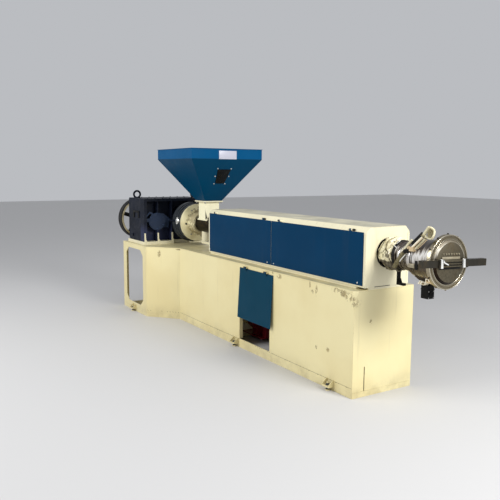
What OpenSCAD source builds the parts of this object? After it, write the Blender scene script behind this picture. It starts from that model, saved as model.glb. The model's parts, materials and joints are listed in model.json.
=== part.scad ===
// Plastic extruder on a sheet-steel base, with its gearbox, hopper, hooded barrel and round die.
// The origin is on the floor, under the barrel axis, at the die end of the base.
// +X points towards the die, -Y towards the side with the access door, +Z up. Sizes in mm.

/* [Base] */
// Length of the narrow part of the base
base_len = 2790; // [2400:10:3200]
// Width of the narrow part of the base
base_w = 570; // [500:5:640]
// Height of the base deck above the floor
base_h = 770; // [720:5:820]
// Length over which the base widens to the pedestal
taper_len = 300; // [200:10:400]
// Length of the wide pedestal under the gearbox
pedestal_len = 681; // [640:5:760]
// Width of the wide pedestal
pedestal_w = 1092; // [1040:4:1160]
// Thickness of the side sheets
sheet_t = 5; // [3:0.5:8]
// Thickness of the deck plates
deck_t = 10; // [6:1:16]
// Height of the sill frame on the floor
sill_h = 40; // [30:1:60]
// Width of the sill frame
sill_w = 46; // [36:1:60]
// Size of the bevel on the door-side top corner, across the end wall
corner_cut = 46; // [30:1:60]

/* [Octagonal windows of the pedestal] */
// Width of the window
window_w = 490; // [400:5:520]
// Height of the sheet left above the window
window_over = 44; // [30:1:120]
// Size of the cut corners, along the length
window_cut_x = 75; // [40:1:110]
// Size of the cut corners, upwards
window_cut_z = 62; // [40:1:110]
// Lowest edge of the window above the floor
window_z = 96; // [80:1:120]

/* [Access door] */
// Width of the door leaf
door_w = 530; // [480:5:560]
// Height of the door leaf
door_h = 450; // [380:5:520]
// Distance of the leaf's die-side edge from the end of the base
door_from_end = 1000; // [900:10:1200]
// Width of the opening behind the door
door_gap_w = 490; // [420:5:510]
// Lowest edge of the opening above the floor
door_gap_z = 79; // [60:1:120]
// Thickness of the door leaf
door_t = 3; // [2:0.5:5]
// Angle at which the leaf hangs from its pins
door_hang = 3.2; // [0:0.1:5]

/* [Hood] */
// Width of the hood over the barrel
hood_w = 414; // [380:2:460]
// Underside of the hood above the deck
hood_gap = 18; // [10:1:30]
// Height of the hood
hood_h = 422; // [400:2:460]
// Length of the hood
hood_len = 2286; // [1900:10:2400]
// Overhang of the hood past the end of the base
hood_over = 12; // [0:1:40]
// Size of the bevel along the hood's top edges
hood_bevel = 40; // [24:1:60]
// Thickness of the hood sheets
hood_t = 3; // [2:0.5:5]
// Height of the lip under the flaps
lip_h = 12; // [8:1:30]
// Gap between the two flaps of a side
flap_gap = 6; // [5:0.5:12]
// Thickness of a flap
flap_t = 3; // [2:0.5:5]

/* [Barrel] */
// Height of the barrel axis above the floor
axis_z = 1025; // [1005:1:1035]
// Radius of the barrel
barrel_r = 90; // [70:1:94]
// Outer radius of the barrel heater bands
heater_r = 120; // [100:1:140]
// Number of heater bands
heater_count = 5; // [3:1:7]
// Length of one heater band
heater_len = 300; // [200:5:380]
// Radius of the feed flange
flange_r = 202; // [190:1:214]
// Thickness of the feed flange
flange_t = 14; // [10:1:30]

/* [Hopper] */
// Width of the square hopper rim
hopper_w = 806; // [600:2:860]
// Height of the upright hopper rim
rim_h = 101; // [60:1:140]
// Height of the sloping part
cone_h = 431; // [380:1:480]
// Width of the hopper outlet
outlet_w = 200; // [170:1:220]
// Thickness of the hopper sheet
hopper_t = 4; // [2:0.5:6]
// Distance of the hopper's centre from the face of the feed flange
hopper_ahead = 270; // [250:1:310]
// Width of the square flange under the hopper
throat_flange_w = 222; // [210:2:260]
// Width of the feed throat block, across the barrel
throat_w = 165; // [150:1:172]
// Length of the feed throat block, along the barrel
throat_len = 150; // [140:1:180]

/* [Gearbox] */
// Length of the gearbox along the barrel
gearbox_len = 450; // [400:5:470]
// Width of the gearbox
gearbox_w = 730; // [700:5:760]
// Height of the gearbox on its foot plate
gearbox_h = 475; // [450:5:520]
// Thickness of the foot plate
foot_t = 35; // [20:1:50]
// Offset of the input shaft from the barrel axis
shaft_offset = 320; // [310:1:330]
// Radius of the round thrust housing
thrust_r = 218; // [212:1:236]
// Depth of the open pocket at the gearbox's die side
pocket_d = 100; // [60:1:140]

/* [Drive] */
// Outer radius of the driven pulley
pulley_r = 237; // [200:1:250]
// Outer radius of the motor pulley
motor_pulley_r = 90; // [70:1:120]
// Number of V-belts
belt_count = 4; // [2:1:5]
// Radius of the motor frame
motor_r = 170; // [150:1:180]
// Drop of the motor shaft below the base deck
motor_drop = 210; // [195:1:240]
// Offset of the motor shaft from the middle
motor_y = 300; // [280:1:340]

/* [Die] */
// Radius of the die body
die_r = 131; // [115:1:140]
// Length of the die body
die_len = 293; // [260:1:320]
// Radius of the die ring
ring_r = 177; // [170:1:190]
// Thickness of the die ring
ring_t = 34; // [30:1:60]
// Radius of the recess in the die ring
recess_r = 142; // [120:1:146]
// Length of the cross bar
bar_len = 594; // [500:2:700]
// Height of the cross bar
bar_h = 46; // [36:1:60]
// Depth of the cross bar
bar_d = 36; // [24:1:60]
// Offset of the cross bar from the middle, away from the door side
bar_shift = 22; // [-30:1:30]
// Slope of the cross bar and the plate behind it
bar_tilt = -2.3; // [-5:0.1:5]

/* [Hidden] */
$fn = 48;
fit = 0.3;
seam = 1;

cream = [0.9, 0.86, 0.68];
flap_blue = [0.06, 0.23, 0.37];
hopper_blue = [0.02, 0.27, 0.42];
gear_blue = [0.13, 0.17, 0.26];
steel = [0.72, 0.72, 0.72];
dark_steel = [0.25, 0.24, 0.22];
black = [0.06, 0.06, 0.06];

// Plan of the base: x of its bends, half widths, and the shift of a bend for an inner line
x_bend = -base_len;
x_wide = x_bend - taper_len;
x_rear = x_wide - pedestal_len;
half_w = base_w / 2;
half_p = pedestal_w / 2;
bend = tan(atan2(half_p - half_w, taper_len) / 2);
wall_top = base_h - deck_t;
cut_x = corner_cut * 0.52;
cut_z = corner_cut * 1.35;

// Door: pin line and opening
pin_r = 4;
knuckle_r = 7;
knuckle_len = 20;
knuckle_gap = 1;
door_seat = 1;
door_x1 = -door_from_end;
door_x0 = door_x1 - door_w;
door_top = base_h - 33;
door_pin_z = door_top + 11;
door_mid_y = -half_w - door_seat - door_t / 2;
door_arm = door_pin_z - door_top + door_h / 2;
door_pin_y = door_mid_y - door_arm * tan(door_hang);
gap_x0 = door_x0 - 10;
gap_top = door_top - 24;
door_hinges = [door_x0 + 110, door_x1 - 98];

// Hood
hood_z0 = base_h + hood_gap;
hood_z1 = hood_z0 + hood_h;
hood_x1 = hood_over;
hood_x0 = hood_x1 - hood_len;
hood_half = hood_w / 2;
bevel_z = hood_z1 - hood_bevel;
lip_z = hood_z0 + lip_h;
split_x = hood_x0 + hood_len * 0.49;
flap_seat = 1;
flap_top = bevel_z + 5;
flap_bottom = lip_z;
flap_pin_z = flap_top + 10;
flap_pin_y = hood_half + flap_seat - 2;
flap_hinge_inset = [[104, 124], [116, 141]];
flap_x = [[hood_x0 + 24, split_x - flap_gap / 2], [split_x + flap_gap / 2, hood_x1 - 22]];
function flap_hinges(i) = [flap_x[i][0] + flap_hinge_inset[i][0], flap_x[i][1] - flap_hinge_inset[i][1]];

// Barrel line
flange_past_bend = 140;
flange_x1 = x_bend - flange_past_bend;
flange_x0 = flange_x1 - flange_t;
barrel_x0 = flange_x0;
barrel_x1 = 34;
boss_r = barrel_r + 20;
boss_t = 125;
heater_x0 = hood_x0 + 140;
heater_x1 = -120;

// Hopper and throat
hopper_cx = flange_x1 + hopper_ahead;
throat_flange_z0 = axis_z + 241;
throat_flange_t = 12;
throat_bore = 110;
hopper_z0 = throat_flange_z0 + throat_flange_t;
hopper_z1 = hopper_z0 + cone_h;
hopper_top = hopper_z1 + rim_h;
saddle_z = axis_z + barrel_r / 2;

// Gearbox
gearbox_inset = 150;
gearbox_x1 = x_wide - gearbox_inset;
gearbox_x0 = gearbox_x1 - gearbox_len;
gearbox_y0 = -500;
gearbox_y1 = gearbox_y0 + gearbox_w;
foot_z = base_h + foot_t;
lid_t = 28;
post_t = 34;
cover_y = -shaft_offset - 18;
cover_seat = gearbox_x1 - 34;
gearbox_z1 = foot_z + gearbox_h;
shaft_y = -shaft_offset;
shaft_r = 30;
thrust_x0 = gearbox_x1 + 130;
thrust_neck_r = 150;

// Belt drive
belt_w = 13;
belt_t = 10;
belt_pitch = 20;
groove_w = 15;
groove_depth = 12;
pulley_w = belt_count * belt_pitch + 6;
pulley_past_rear = 79;
pulley_cx = x_rear - pulley_past_rear;
pulley_hub_r = 62;
spoke_count = 5;
motor_len = 430;
motor_x0 = x_rear + 80;
motor_x1 = motor_x0 + motor_len;
motor_shaft_r = 24;
motor_z = base_h - motor_drop;
shelf_z = motor_z - motor_r - 30;

// Die end
wrap_x0 = hood_x1 + 10;
wrap_x1 = 163;
wrap_r = barrel_r + 20;
collar_x1 = wrap_x1 + 20;
adapter_x1 = 226;
adapter_r = 98;
collar_r = adapter_r + 4;
cone_x1 = adapter_x1 + 62;
ring_x1 = adapter_x1 + die_len + ring_t;
ring_x0 = ring_x1 - ring_t;
plate_t = 12;
plate_x1 = ring_x1 - 16;
bar_x0 = ring_x1 + fit;
bar_x1 = bar_x0 + bar_d;

function plan(t) = [
  [-t, -half_w + t], [x_bend - bend * t, -half_w + t],
  [x_wide - bend * t, -half_p + t], [x_rear + t, -half_p + t],
  [x_rear + t, half_p - t], [x_wide - bend * t, half_p - t],
  [x_bend - bend * t, half_w - t], [-t, half_w - t]];

module block(x, y, z) {
  translate([x[0], y[0], z[0]]) cube([x[1] - x[0], y[1] - y[0], z[1] - z[0]]);
}

module rod_x(x, r, y = 0, z = axis_z) {
  translate([x[0], y, z]) rotate([0, 90, 0]) cylinder(h = x[1] - x[0], r = r);
}

module tube_x(x, r_out, r_in, y = 0, z = axis_z) {
  difference() {
    rod_x(x, r_out, y, z);
    rod_x([x[0] - 1, x[1] + 1], r_in, y, z);
  }
}

// An outline drawn in Y and Z, swept along X
module slab_x(x, points) {
  translate([x[0], 0, 0]) rotate([90, 0, 90]) linear_extrude(x[1] - x[0]) polygon(points);
}

// An outline drawn in X and Z, swept along Y
module slab_y(y, points) {
  translate([0, y[1], 0]) rotate([90, 0, 0]) linear_extrude(y[1] - y[0]) polygon(points);
}

module both_sides() {
  children();
  mirror([0, 1, 0]) children();
}

module rounded_block(x, y, z, r) {
  corners = [[x[0] + r, y[0] + r], [x[1] - r, y[0] + r], [x[1] - r, y[1] - r], [x[0] + r, y[1] - r]];
  translate([0, 0, z[0]]) linear_extrude(z[1] - z[0]) {
    translate([x[0] + r, y[0]]) square([x[1] - x[0] - 2 * r, y[1] - y[0]]);
    translate([x[0], y[0] + r]) square([x[1] - x[0], y[1] - y[0] - 2 * r]);
    for (c = corners) translate(c) circle(r);
  }
}

// Sill frame on the floor, with its cross ties and levelling lugs
bend_tie_inset = 190;
tie_xs = [-620, -1860, x_bend + bend_tie_inset];
lug_xs = [-240, -1595];
pedestal_lug_x = x_rear + 340;
lug_w = 80;
lug_reach = 48;
lug_t = 12;
module levelling_lug(x, y) {
  block([x - lug_w / 2, x + lug_w / 2], [y - lug_reach, y + 1], [sill_h - lug_t, sill_h]);
  for (side = [x - lug_w / 2, x + lug_w / 2 - 6]) slab_x([side, side + 6], [[y - fit, sill_h - 1],
    [y - fit, sill_h + 38], [y - 10, sill_h + 38], [y - lug_reach, sill_h + 5], [y - lug_reach, sill_h - 1]]);
  translate([x, y - lug_reach / 2, 0]) {
    cylinder(h = sill_h + 26, r = 8);
    cylinder(h = 8, r = 18);
  }
}

module base_sill() {
  color(cream) {
    linear_extrude(sill_h) difference() {
      polygon(plan(0));
      polygon(plan(sill_w));
    }
    for (x = tie_xs) block([x - 20, x + 20], [-half_w + sill_w - 1, half_w - sill_w + 1], [0, sill_h]);
    block([x_wide - 42, x_wide - 2], [-half_p + sill_w - 1, half_p - sill_w + 1], [0, sill_h]);
    both_sides() {
      for (x = lug_xs) levelling_lug(x, -half_w);
      levelling_lug(pedestal_lug_x, -half_p);
    }
  }
}

// Side sheet of the narrow base, mitred where it meets the taper
module side_sheet() {
  translate([0, 0, sill_h]) linear_extrude(wall_top - sill_h)
    polygon([[-sheet_t, -half_w], [-sheet_t, -half_w + sheet_t],
      [x_bend - bend * sheet_t, -half_w + sheet_t], [x_bend, -half_w]]);
}

module door_opening() {
  block([gap_x0, gap_x0 + door_gap_w], [-half_w - 10, -half_w + sheet_t + 10], [door_gap_z, gap_top]);
}

module base_near_wall() {
  color(cream) {
    difference() {
      side_sheet();
      door_opening();
      slab_y([-half_w - 1, -half_w + sheet_t + 1],
        [[-cut_x, base_h], [0, base_h - cut_z], [1, base_h - cut_z], [1, base_h]]);
    }
    for (x = door_hinges) door_hinge(x);
    jamb = 30;
    for (x = [gap_x0 - sheet_t, gap_x0 + door_gap_w])
      block([x, x + sheet_t], [-half_w + sheet_t, -half_w + sheet_t + jamb], [door_gap_z, gap_top]);
  }
}

// Two fixed knuckles with their pin, on a strap on the wall
module door_hinge(x) {
  for (side = [-1, 1]) {
    inner = side * (knuckle_len / 2 + knuckle_gap);
    outer = side * (knuckle_len / 2 + knuckle_gap + 13);
    knuckle = [x + min(inner, outer), x + max(inner, outer)];
    difference() {
      union() {
        rod_x(knuckle, knuckle_r, door_pin_y, door_pin_z);
        block(knuckle, [door_pin_y, -half_w + seam], [door_pin_z - 2, door_pin_z + 4]);
      }
      rod_x([knuckle[0] - 1, knuckle[1] + 1], pin_r - 1, door_pin_y, door_pin_z);
    }
  }
  reach = knuckle_len / 2 + knuckle_gap + 12;
  rod_x([x - reach, x + reach], pin_r, door_pin_y, door_pin_z);
}

module base_far_wall() {
  color(cream) mirror([0, 1, 0]) side_sheet();
}

// Thin plate that closes the bevelled corner between end wall, side sheet and deck
module corner_plate() {
  d = deck_t;
  t = sheet_t;
  outer = [[0, corner_cut, 0], [-cut_x, 0, 0], [0, 0, -cut_z]];
  inner = [[-t, corner_cut * (1 - t / cut_x), -d], [-cut_x * (1 - d / cut_z), t, -d],
    [-t, t, -cut_z * (1 - t / cut_x)]];
  translate([0, -half_w, base_h]) polyhedron(concat(outer, inner), [[0, 2, 1], [3, 4, 5],
    [0, 1, 4], [0, 4, 3], [1, 2, 5], [1, 5, 4], [2, 0, 3], [2, 3, 5]]);
}

// End sheet with a short slot above the sill
module base_end_wall() {
  top = wall_top;
  slot_y = -half_w + 105;
  color(cream) {
    difference() {
      slab_x([-sheet_t, 0], [[-half_w, sill_h], [half_w, sill_h], [half_w, top],
        [-half_w + corner_cut * (1 - deck_t / cut_z) - seam, top], [-half_w, base_h - cut_z - seam]]);
      block([-sheet_t - 1, 1], [slot_y, slot_y + 8], [sill_h - 1, sill_h + 180]);
    }
    corner_plate();
  }
}

module base_deck() {
  color(cream) translate([0, 0, wall_top]) linear_extrude(deck_t)
    polygon([[0, -half_w + corner_cut], [-cut_x, -half_w], [x_bend, -half_w],
      [x_bend, half_w], [0, half_w]]);
}

module taper_walls() {
  outer = plan(0);
  inner = plan(sheet_t);
  color(cream) both_sides() translate([0, 0, sill_h]) linear_extrude(wall_top - sill_h)
    polygon([outer[1], inner[1], inner[2], outer[2]]);
}

module window_outline(x) {
  z1 = wall_top - window_over;
  polygon([[x + window_cut_x, window_z], [x + window_w - window_cut_x, window_z],
    [x + window_w, window_z + window_cut_z], [x + window_w, z1 - window_cut_z],
    [x + window_w - window_cut_x, z1], [x + window_cut_x, z1],
    [x, z1 - window_cut_z], [x, window_z + window_cut_z]]);
}

window_x = x_rear + (pedestal_len - window_w) / 2;
module pedestal_sheet() {
  difference() {
    translate([0, 0, sill_h]) linear_extrude(wall_top - sill_h)
      polygon([[x_wide, -half_p], [x_wide - bend * sheet_t, -half_p + sheet_t],
        [x_rear, -half_p + sheet_t], [x_rear, -half_p]]);
    translate([0, -half_p + sheet_t + 10, 0]) rotate([90, 0, 0]) linear_extrude(sheet_t + 20)
      window_outline(window_x);
  }
}

module pedestal_near_wall() {
  color(cream) pedestal_sheet();
}

module pedestal_far_wall() {
  color(cream) mirror([0, 1, 0]) pedestal_sheet();
}

// Posts and top rail round the open rear of the pedestal
post_w = 60;
module pedestal_rear_frame() {
  color(cream) {
    both_sides() block([x_rear, x_rear + sheet_t], [-half_p + sheet_t, -half_p + post_w], [sill_h, wall_top]);
    block([x_rear, x_rear + sheet_t], [-half_p + post_w - 1, half_p - post_w + 1], [wall_top - post_w, wall_top]);
  }
}

module pedestal_deck() {
  p = plan(0);
  color(cream) translate([0, 0, wall_top]) linear_extrude(deck_t)
    polygon([p[1], p[2], p[3], p[4], p[5], p[6]]);
}

// The leaf hangs from its pins at door_hang degrees
module access_door() {
  color(flap_blue) translate([0, door_pin_y, door_pin_z]) rotate([-door_hang, 0, 0])
    translate([0, -door_pin_y, -door_pin_z]) {
      difference() {
        union() {
          block([door_x0, door_x1], [door_mid_y - door_t / 2, door_mid_y + door_t / 2],
            [door_top - door_h, door_top]);
          for (x = door_hinges) {
            rod_x([x - knuckle_len / 2, x + knuckle_len / 2], knuckle_r, door_pin_y, door_pin_z);
            block([x - knuckle_len / 2, x + knuckle_len / 2], [door_pin_y - 1, door_mid_y + door_t / 2],
              [door_top - 14, door_pin_z - 3]);
          }
        }
        for (x = door_hinges)
          rod_x([x - knuckle_len, x + knuckle_len], pin_r + fit, door_pin_y, door_pin_z);
      }
    }
}

// Centrifugal blower for cooling the barrel, on the sill ties
blower_x = -1700;
blower_y = 40;
blower_r = 120;
blower_z = 210;
module cooling_blower() {
  foot_x = [tie_xs[1] - 20, blower_x + 170];
  color([0.45, 0.06, 0.08]) {
    rod_x([blower_x - 50, blower_x + 50], blower_r, blower_y, blower_z);
    rod_x([blower_x + 49, blower_x + 230], 78, blower_y, blower_z);
    block([blower_x - 45, blower_x + 45], [blower_y + 20, blower_y + blower_r - 1], [blower_z, blower_z + 190]);
    block(foot_x, [blower_y - 90, blower_y + 90], [sill_h, sill_h + 10]);
    block([blower_x - 40, blower_x + 40], [blower_y - 60, blower_y + 60], [sill_h + 9, blower_z - 60]);
    block([blower_x + 120, blower_x + 180], [blower_y - 50, blower_y + 50], [sill_h + 9, blower_z - 40]);
  }
}

// Lower frame of the hood, standing on a set-back plinth on the deck
module hood_sill() {
  color(cream) {
    both_sides() {
      block([hood_x0 + hood_t, hood_x1 - hood_t], [-hood_half, -hood_half + hood_t], [hood_z0, lip_z]);
      block([hood_x0 + hood_t, hood_x1 - hood_t], [-hood_half + hood_t - 1, -hood_half + 40], [hood_z0, hood_z0 + hood_t]);
      block([hood_x0 + 16, hood_x1 - 95], [-hood_half + 9, -hood_half + 36], [base_h, hood_z0 + 1]);
      block([split_x - 20, split_x + 20], [-hood_half, -hood_half + hood_t], [lip_z - 1, bevel_z - 12]);
    }
    for (x = [hood_x0 + hood_t, hood_x1 - hood_t - 40])
      block([x, x + 40], [-hood_half + 39, hood_half - 39], [hood_z0, hood_z0 + hood_t]);
    block([hood_x1 - 28, hood_x1 - 8], [-hood_half + 44, hood_half - 12], [base_h, hood_z0 + 1]);
  }
}

function hood_outline(t, low) = [
  [-hood_half + t, low], [-hood_half + t, bevel_z - t * 0.41], [-hood_half + hood_bevel + t * 0.41, hood_z1 - t],
  [hood_half - hood_bevel - t * 0.41, hood_z1 - t], [hood_half - t, bevel_z - t * 0.41], [hood_half - t, low]];

module hood_top() {
  color(cream) {
    difference() {
      slab_x([hood_x0, hood_x1], hood_outline(0, bevel_z - 12));
      slab_x([hood_x0 - 1, hood_x1 + 1], hood_outline(hood_t, bevel_z - 13));
    }
    both_sides() for (i = [0, 1]) for (x = flap_hinges(i)) flap_hinge(x);
  }
}

module flap_hinge(x) {
  for (side = [-1, 1]) {
    inner = side * (knuckle_len / 2 + knuckle_gap);
    outer = side * (knuckle_len / 2 + knuckle_gap + 13);
    knuckle = [x + min(inner, outer), x + max(inner, outer)];
    rod_x(knuckle, knuckle_r, -flap_pin_y, flap_pin_z);
    slab_x(knuckle, [[-flap_pin_y, flap_pin_z + 6], [-flap_pin_y + 3, flap_pin_z - 4],
      [-hood_half + 12, bevel_z + 10], [-hood_half + 22, bevel_z + 20]]);
  }
  reach = knuckle_len / 2 + knuckle_gap + 12;
  rod_x([x - reach, x + reach], pin_r, -flap_pin_y, flap_pin_z);
}

// End plates with a folded edge beside the flaps and a low strip along their corners
module hood_end_plates() {
  fold = 22;
  strip_w = 18;
  fold_z = [lip_z + fit, bevel_z - 12 - fit];
  color(cream) {
    difference() {
      for (x = [[hood_x0, hood_x0 + hood_t], [hood_x1 - hood_t, hood_x1]])
        slab_x(x, concat(hood_outline(hood_t + fit, hood_z0)));
      rod_x([hood_x0 - 1, hood_x1 + 1], barrel_r + 11);
    }
    both_sides() {
      for (x = [hood_x0, hood_x1 - fold])
        block([x, x + fold], [-hood_half, -hood_half + hood_t + seam], fold_z);
      block([hood_x1 - seam, hood_x1 + 2], [-hood_half, -hood_half + strip_w], [hood_z0, fold_z[1]]);
    }
  }
}

// A flap hangs on the outside of the hood, by two knuckles on its pins
module flap(i) {
  span = flap_x[i];
  y = [-hood_half - flap_seat - flap_t, -hood_half - flap_seat];
  color(flap_blue) difference() {
    union() {
      block(span, y, [flap_bottom, flap_top]);
      for (x = flap_hinges(i)) {
        rod_x([x - knuckle_len / 2, x + knuckle_len / 2], knuckle_r, -flap_pin_y, flap_pin_z);
        block([x - knuckle_len / 2, x + knuckle_len / 2], y, [flap_top - 1, flap_pin_z]);
      }
    }
    for (x = flap_hinges(i))
      rod_x([x - knuckle_len, x + knuckle_len], pin_r + fit, -flap_pin_y, flap_pin_z);
  }
}

module flap_near_feed() {
  flap(0);
}

module flap_near_die() {
  flap(1);
}

module flap_far_feed() {
  mirror([0, 1, 0]) flap(0);
}

module flap_far_die() {
  mirror([0, 1, 0]) flap(1);
}

// Foot plate with an open middle and three flared uprights at the die side of the gearbox
foot_rib_ys = [gearbox_y0 + 8, cover_y + 2, -164];
module gearbox_foot() {
  x1 = gearbox_x1 + 14;
  color(cream) {
    difference() {
      block([gearbox_x0 - 20, x1], [gearbox_y0 - 8, gearbox_y1 + 30], [base_h, foot_z]);
      block([gearbox_x1 - 60, x1 + 1], [-148, 70], [base_h - 1, foot_z + 1]);
    }
    for (y = foot_rib_ys) slab_x([gearbox_x1 + fit, gearbox_x1 + 12], [[y - 6, foot_z - 1], [y + 26, foot_z - 1],
      [y + 9, foot_z + 26], [y + 6, foot_z + 95], [y - 6, foot_z + 95]]);
  }
}

// A block whose lower and upper edges at the belt side are rounded
module rear_rounded(x, y, z, low_r, high_r) {
  translate([0, y[1], 0]) rotate([90, 0, 0]) linear_extrude(y[1] - y[0]) difference() {
    translate([x[0], z[0]]) square([x[1] - x[0], z[1] - z[0]]);
    if (low_r > 0) difference() {
      translate([x[0] - 1, z[0] - 1]) square([low_r + 1, low_r + 1]);
      translate([x[0] + low_r, z[0] + low_r]) circle(low_r);
    }
    if (high_r > 0) difference() {
      translate([x[0] - 1, z[1] - high_r]) square([high_r + 1, high_r + 1]);
      translate([x[0] + high_r, z[1] - high_r]) circle(high_r);
    }
  }
}

// Housing with a deep pocket at the die side, crossed by upright ribs
corner_r = 40;
pocket_x = gearbox_x1 - pocket_d;
rib_ys = [cover_y + 2, -164, 66];
module gearbox_housing() {
  z = [foot_z, gearbox_z1 - lid_t];
  color(gear_blue) difference() {
    union() {
      rear_rounded([gearbox_x0, pocket_x], [gearbox_y0, gearbox_y1], z, corner_r, 0);
      for (y = [gearbox_y0, gearbox_y1 - post_t]) block([pocket_x - 1, gearbox_x1], [y, y + post_t], z);
      for (y = rib_ys) block([pocket_x - 1, gearbox_x1], [y - 5, y + 5], z);
      rod_x([pocket_x - 1, cover_seat], 90, cover_y);
      rod_x([pocket_x - 1, gearbox_x1], thrust_neck_r + 14);
      rod_x([gearbox_x0 - 22, gearbox_x0 + 1], 92, shaft_y);
    }
    rod_x([gearbox_x0 - 30, gearbox_x0 + 200], shaft_r + fit, shaft_y);
    rod_x([cover_seat, gearbox_x1 + 1], 97, cover_y);
  }
}

// Lid with two large lifting eyes
eye_at = [[gearbox_x0 + 130, gearbox_y0 + 50], [gearbox_x1 - 130, gearbox_y1 - 50]];
eye_r = 38;
module gearbox_lid() {
  color(gear_blue) {
    rear_rounded([gearbox_x0, gearbox_x1], [gearbox_y0, gearbox_y1], [gearbox_z1 - lid_t, gearbox_z1], 0, lid_t);
    for (c = eye_at) translate([c[0], c[1], gearbox_z1 - 1]) {
      cylinder(h = 10, r = 27);
      translate([0, 0, eye_r + 2]) rotate([0, 90, 0]) rotate_extrude() translate([eye_r, 0]) circle(11);
    }
  }
}

// Shaped cover in the pocket: a disc with a broad wing and two short arms
module bearing_cover() {
  x = [cover_seat + fit, cover_seat + 14];
  arm = gearbox_y0 + post_t + fit - cover_y;
  color([0.2, 0.25, 0.36]) {
    rod_x([x[0], x[1] + 6], 96, cover_y);
    translate([0, cover_y, axis_z]) {
      slab_x(x, [[20, 94], [78, 84], [164, 22], [164, 10], [148, 2], [144, -76], [88, -66], [20, -94]]);
      slab_x(x, [[arm, -4], [arm, 34], [-80, 34], [-80, -4]]);
      slab_x(x, [[arm, 46], [arm, 60], [-84, 112], [-50, 96], [-50, 70], [-82, 92]]);
    }
  }
}

module thrust_housing() {
  color(dark_steel) difference() {
    union() {
      rod_x([gearbox_x1, thrust_x0 + 1], thrust_neck_r);
      rod_x([thrust_x0, thrust_x0 + 60], thrust_r);
      rod_x([thrust_x0 + 59, thrust_x0 + 100], thrust_r - 8);
      rod_x([thrust_x0 + 99, flange_x0], thrust_r - 16);
      rod_x([flange_x0 - 28, flange_x0], flange_r + 5);
    }
    rod_x([gearbox_x1 + 40, flange_x0 + 1], barrel_r + 20);
  }
}

module feed_flange() {
  color(cream) difference() {
    union() {
      rod_x([flange_x0, flange_x1], flange_r);
      rod_x([flange_x1 - 1, flange_x1 + boss_t], boss_r);
    }
    rod_x([flange_x0 - 1, flange_x1 + boss_t + 1], barrel_r + fit);
  }
}

// Throat block that sits on the barrel with a saddle plate
module feed_throat() {
  half = throat_w / 2;
  long = throat_len / 2;
  color(cream) difference() {
    union() {
      block([hopper_cx - long, hopper_cx + long], [-half, half], [saddle_z, throat_flange_z0]);
      block([hopper_cx - long - 32, hopper_cx + long + 32], [-half + 2, half - 2], [saddle_z, saddle_z + 22]);
    }
    rod_x([hopper_cx - long - 40, hopper_cx + long + 40], barrel_r + fit);
    block([hopper_cx - throat_bore / 2, hopper_cx + throat_bore / 2], [-throat_bore / 2, throat_bore / 2],
      [axis_z, throat_flange_z0 + 1]);
  }
}

module barrel() {
  color(dark_steel) difference() {
    rod_x([barrel_x0, barrel_x1], barrel_r);
    block([hopper_cx - throat_bore / 2, hopper_cx + throat_bore / 2], [-throat_bore / 2, throat_bore / 2],
      [axis_z - 20, axis_z + barrel_r + 1]);
  }
}

module heater_bands() {
  step = (heater_x1 - heater_x0) / heater_count;
  color(steel) for (i = [0 : heater_count - 1]) {
    x = heater_x0 + i * step;
    tube_x([x, x + heater_len], heater_r, barrel_r + fit);
    block([x + 20, x + heater_len - 20], [-12, 12], [axis_z - heater_r - 22, axis_z - heater_r + 6]);
  }
}

// Raised rail at the feed side and a block at the die side, each with a round post under the barrel
rail_h = 42;
rail_x0 = flange_x1 + 186;
cradle_xs = [hopper_cx - 70, -110];
module barrel_support() {
  top = axis_z - barrel_r + 30;
  color(cream) difference() {
    union() {
      block([rail_x0, hood_x0 - 12], [-46, 46], [base_h + rail_h + 4, base_h + rail_h + 30]);
      block([hood_x0 - 76, hood_x0 - 16], [-34, 34], [base_h, base_h + rail_h + 5]);
      translate([cradle_xs[0], 0, base_h + rail_h + 29]) cylinder(h = top - base_h - rail_h - 29, r = 44);
      block([cradle_xs[1] - 60, hood_x1 - hood_t - 50], [-70, 70], [base_h, base_h + rail_h]);
      translate([cradle_xs[1], 0, base_h + rail_h - 1]) cylinder(h = top - base_h - rail_h + 1, r = 44);
    }
    rod_x([barrel_x0, barrel_x1 + 10], barrel_r + fit);
  }
}

module square_ring(z, outer, inner) {
  translate([hopper_cx, 0, z[0]]) linear_extrude(z[1] - z[0]) difference() {
    square(outer, center = true);
    square(inner, center = true);
  }
}

module hopper_flange() {
  color(cream) square_ring([throat_flange_z0, hopper_z0], throat_flange_w, throat_bore);
}

module hopper() {
  slope = (hopper_w - outlet_w) / cone_h;
  color(hopper_blue) {
    translate([hopper_cx, 0, hopper_z0]) difference() {
      linear_extrude(cone_h, scale = hopper_w / outlet_w) square(outlet_w, center = true);
      translate([0, 0, -1]) linear_extrude(cone_h + 2, scale = (hopper_w - 2 * hopper_t + slope) / (outlet_w - 2 * hopper_t - slope))
        square(outlet_w - 2 * hopper_t - slope, center = true);
    }
    square_ring([hopper_z1 - seam, hopper_top], hopper_w, hopper_w - 2 * hopper_t);
    square_ring([hopper_top - 4, hopper_top], hopper_w + 12, hopper_w - 2 * hopper_t);
  }
}

// Dark window in the sloping face on the die side
glass_t = 6;
glass_low = 229;
glass_high = 400;
module sight_glass() {
  tilt = atan2((hopper_w - outlet_w) / 2, cone_h);
  color(black) translate([hopper_cx + outlet_w / 2, 0, hopper_z0]) rotate([0, tilt, 0])
    rotate([90, 0, 90]) linear_extrude(glass_t)
      polygon([[-52, glass_low], [52, glass_low], [74, glass_high], [-74, glass_high]]);
}

module barrel_wrap() {
  color([0.8, 0.74, 0.58]) {
    tube_x([wrap_x0, wrap_x1], wrap_r, barrel_r + fit);
  }
}

module adapter() {
  color(steel) {
    tube_x([wrap_x1 + fit, collar_x1], collar_r, 60);
    tube_x([collar_x1 - 1, adapter_x1], adapter_r - 6, 60);
    tube_x([barrel_x1 + fit, wrap_x1 + 1], barrel_r - 8, 40);
  }
}

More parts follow.
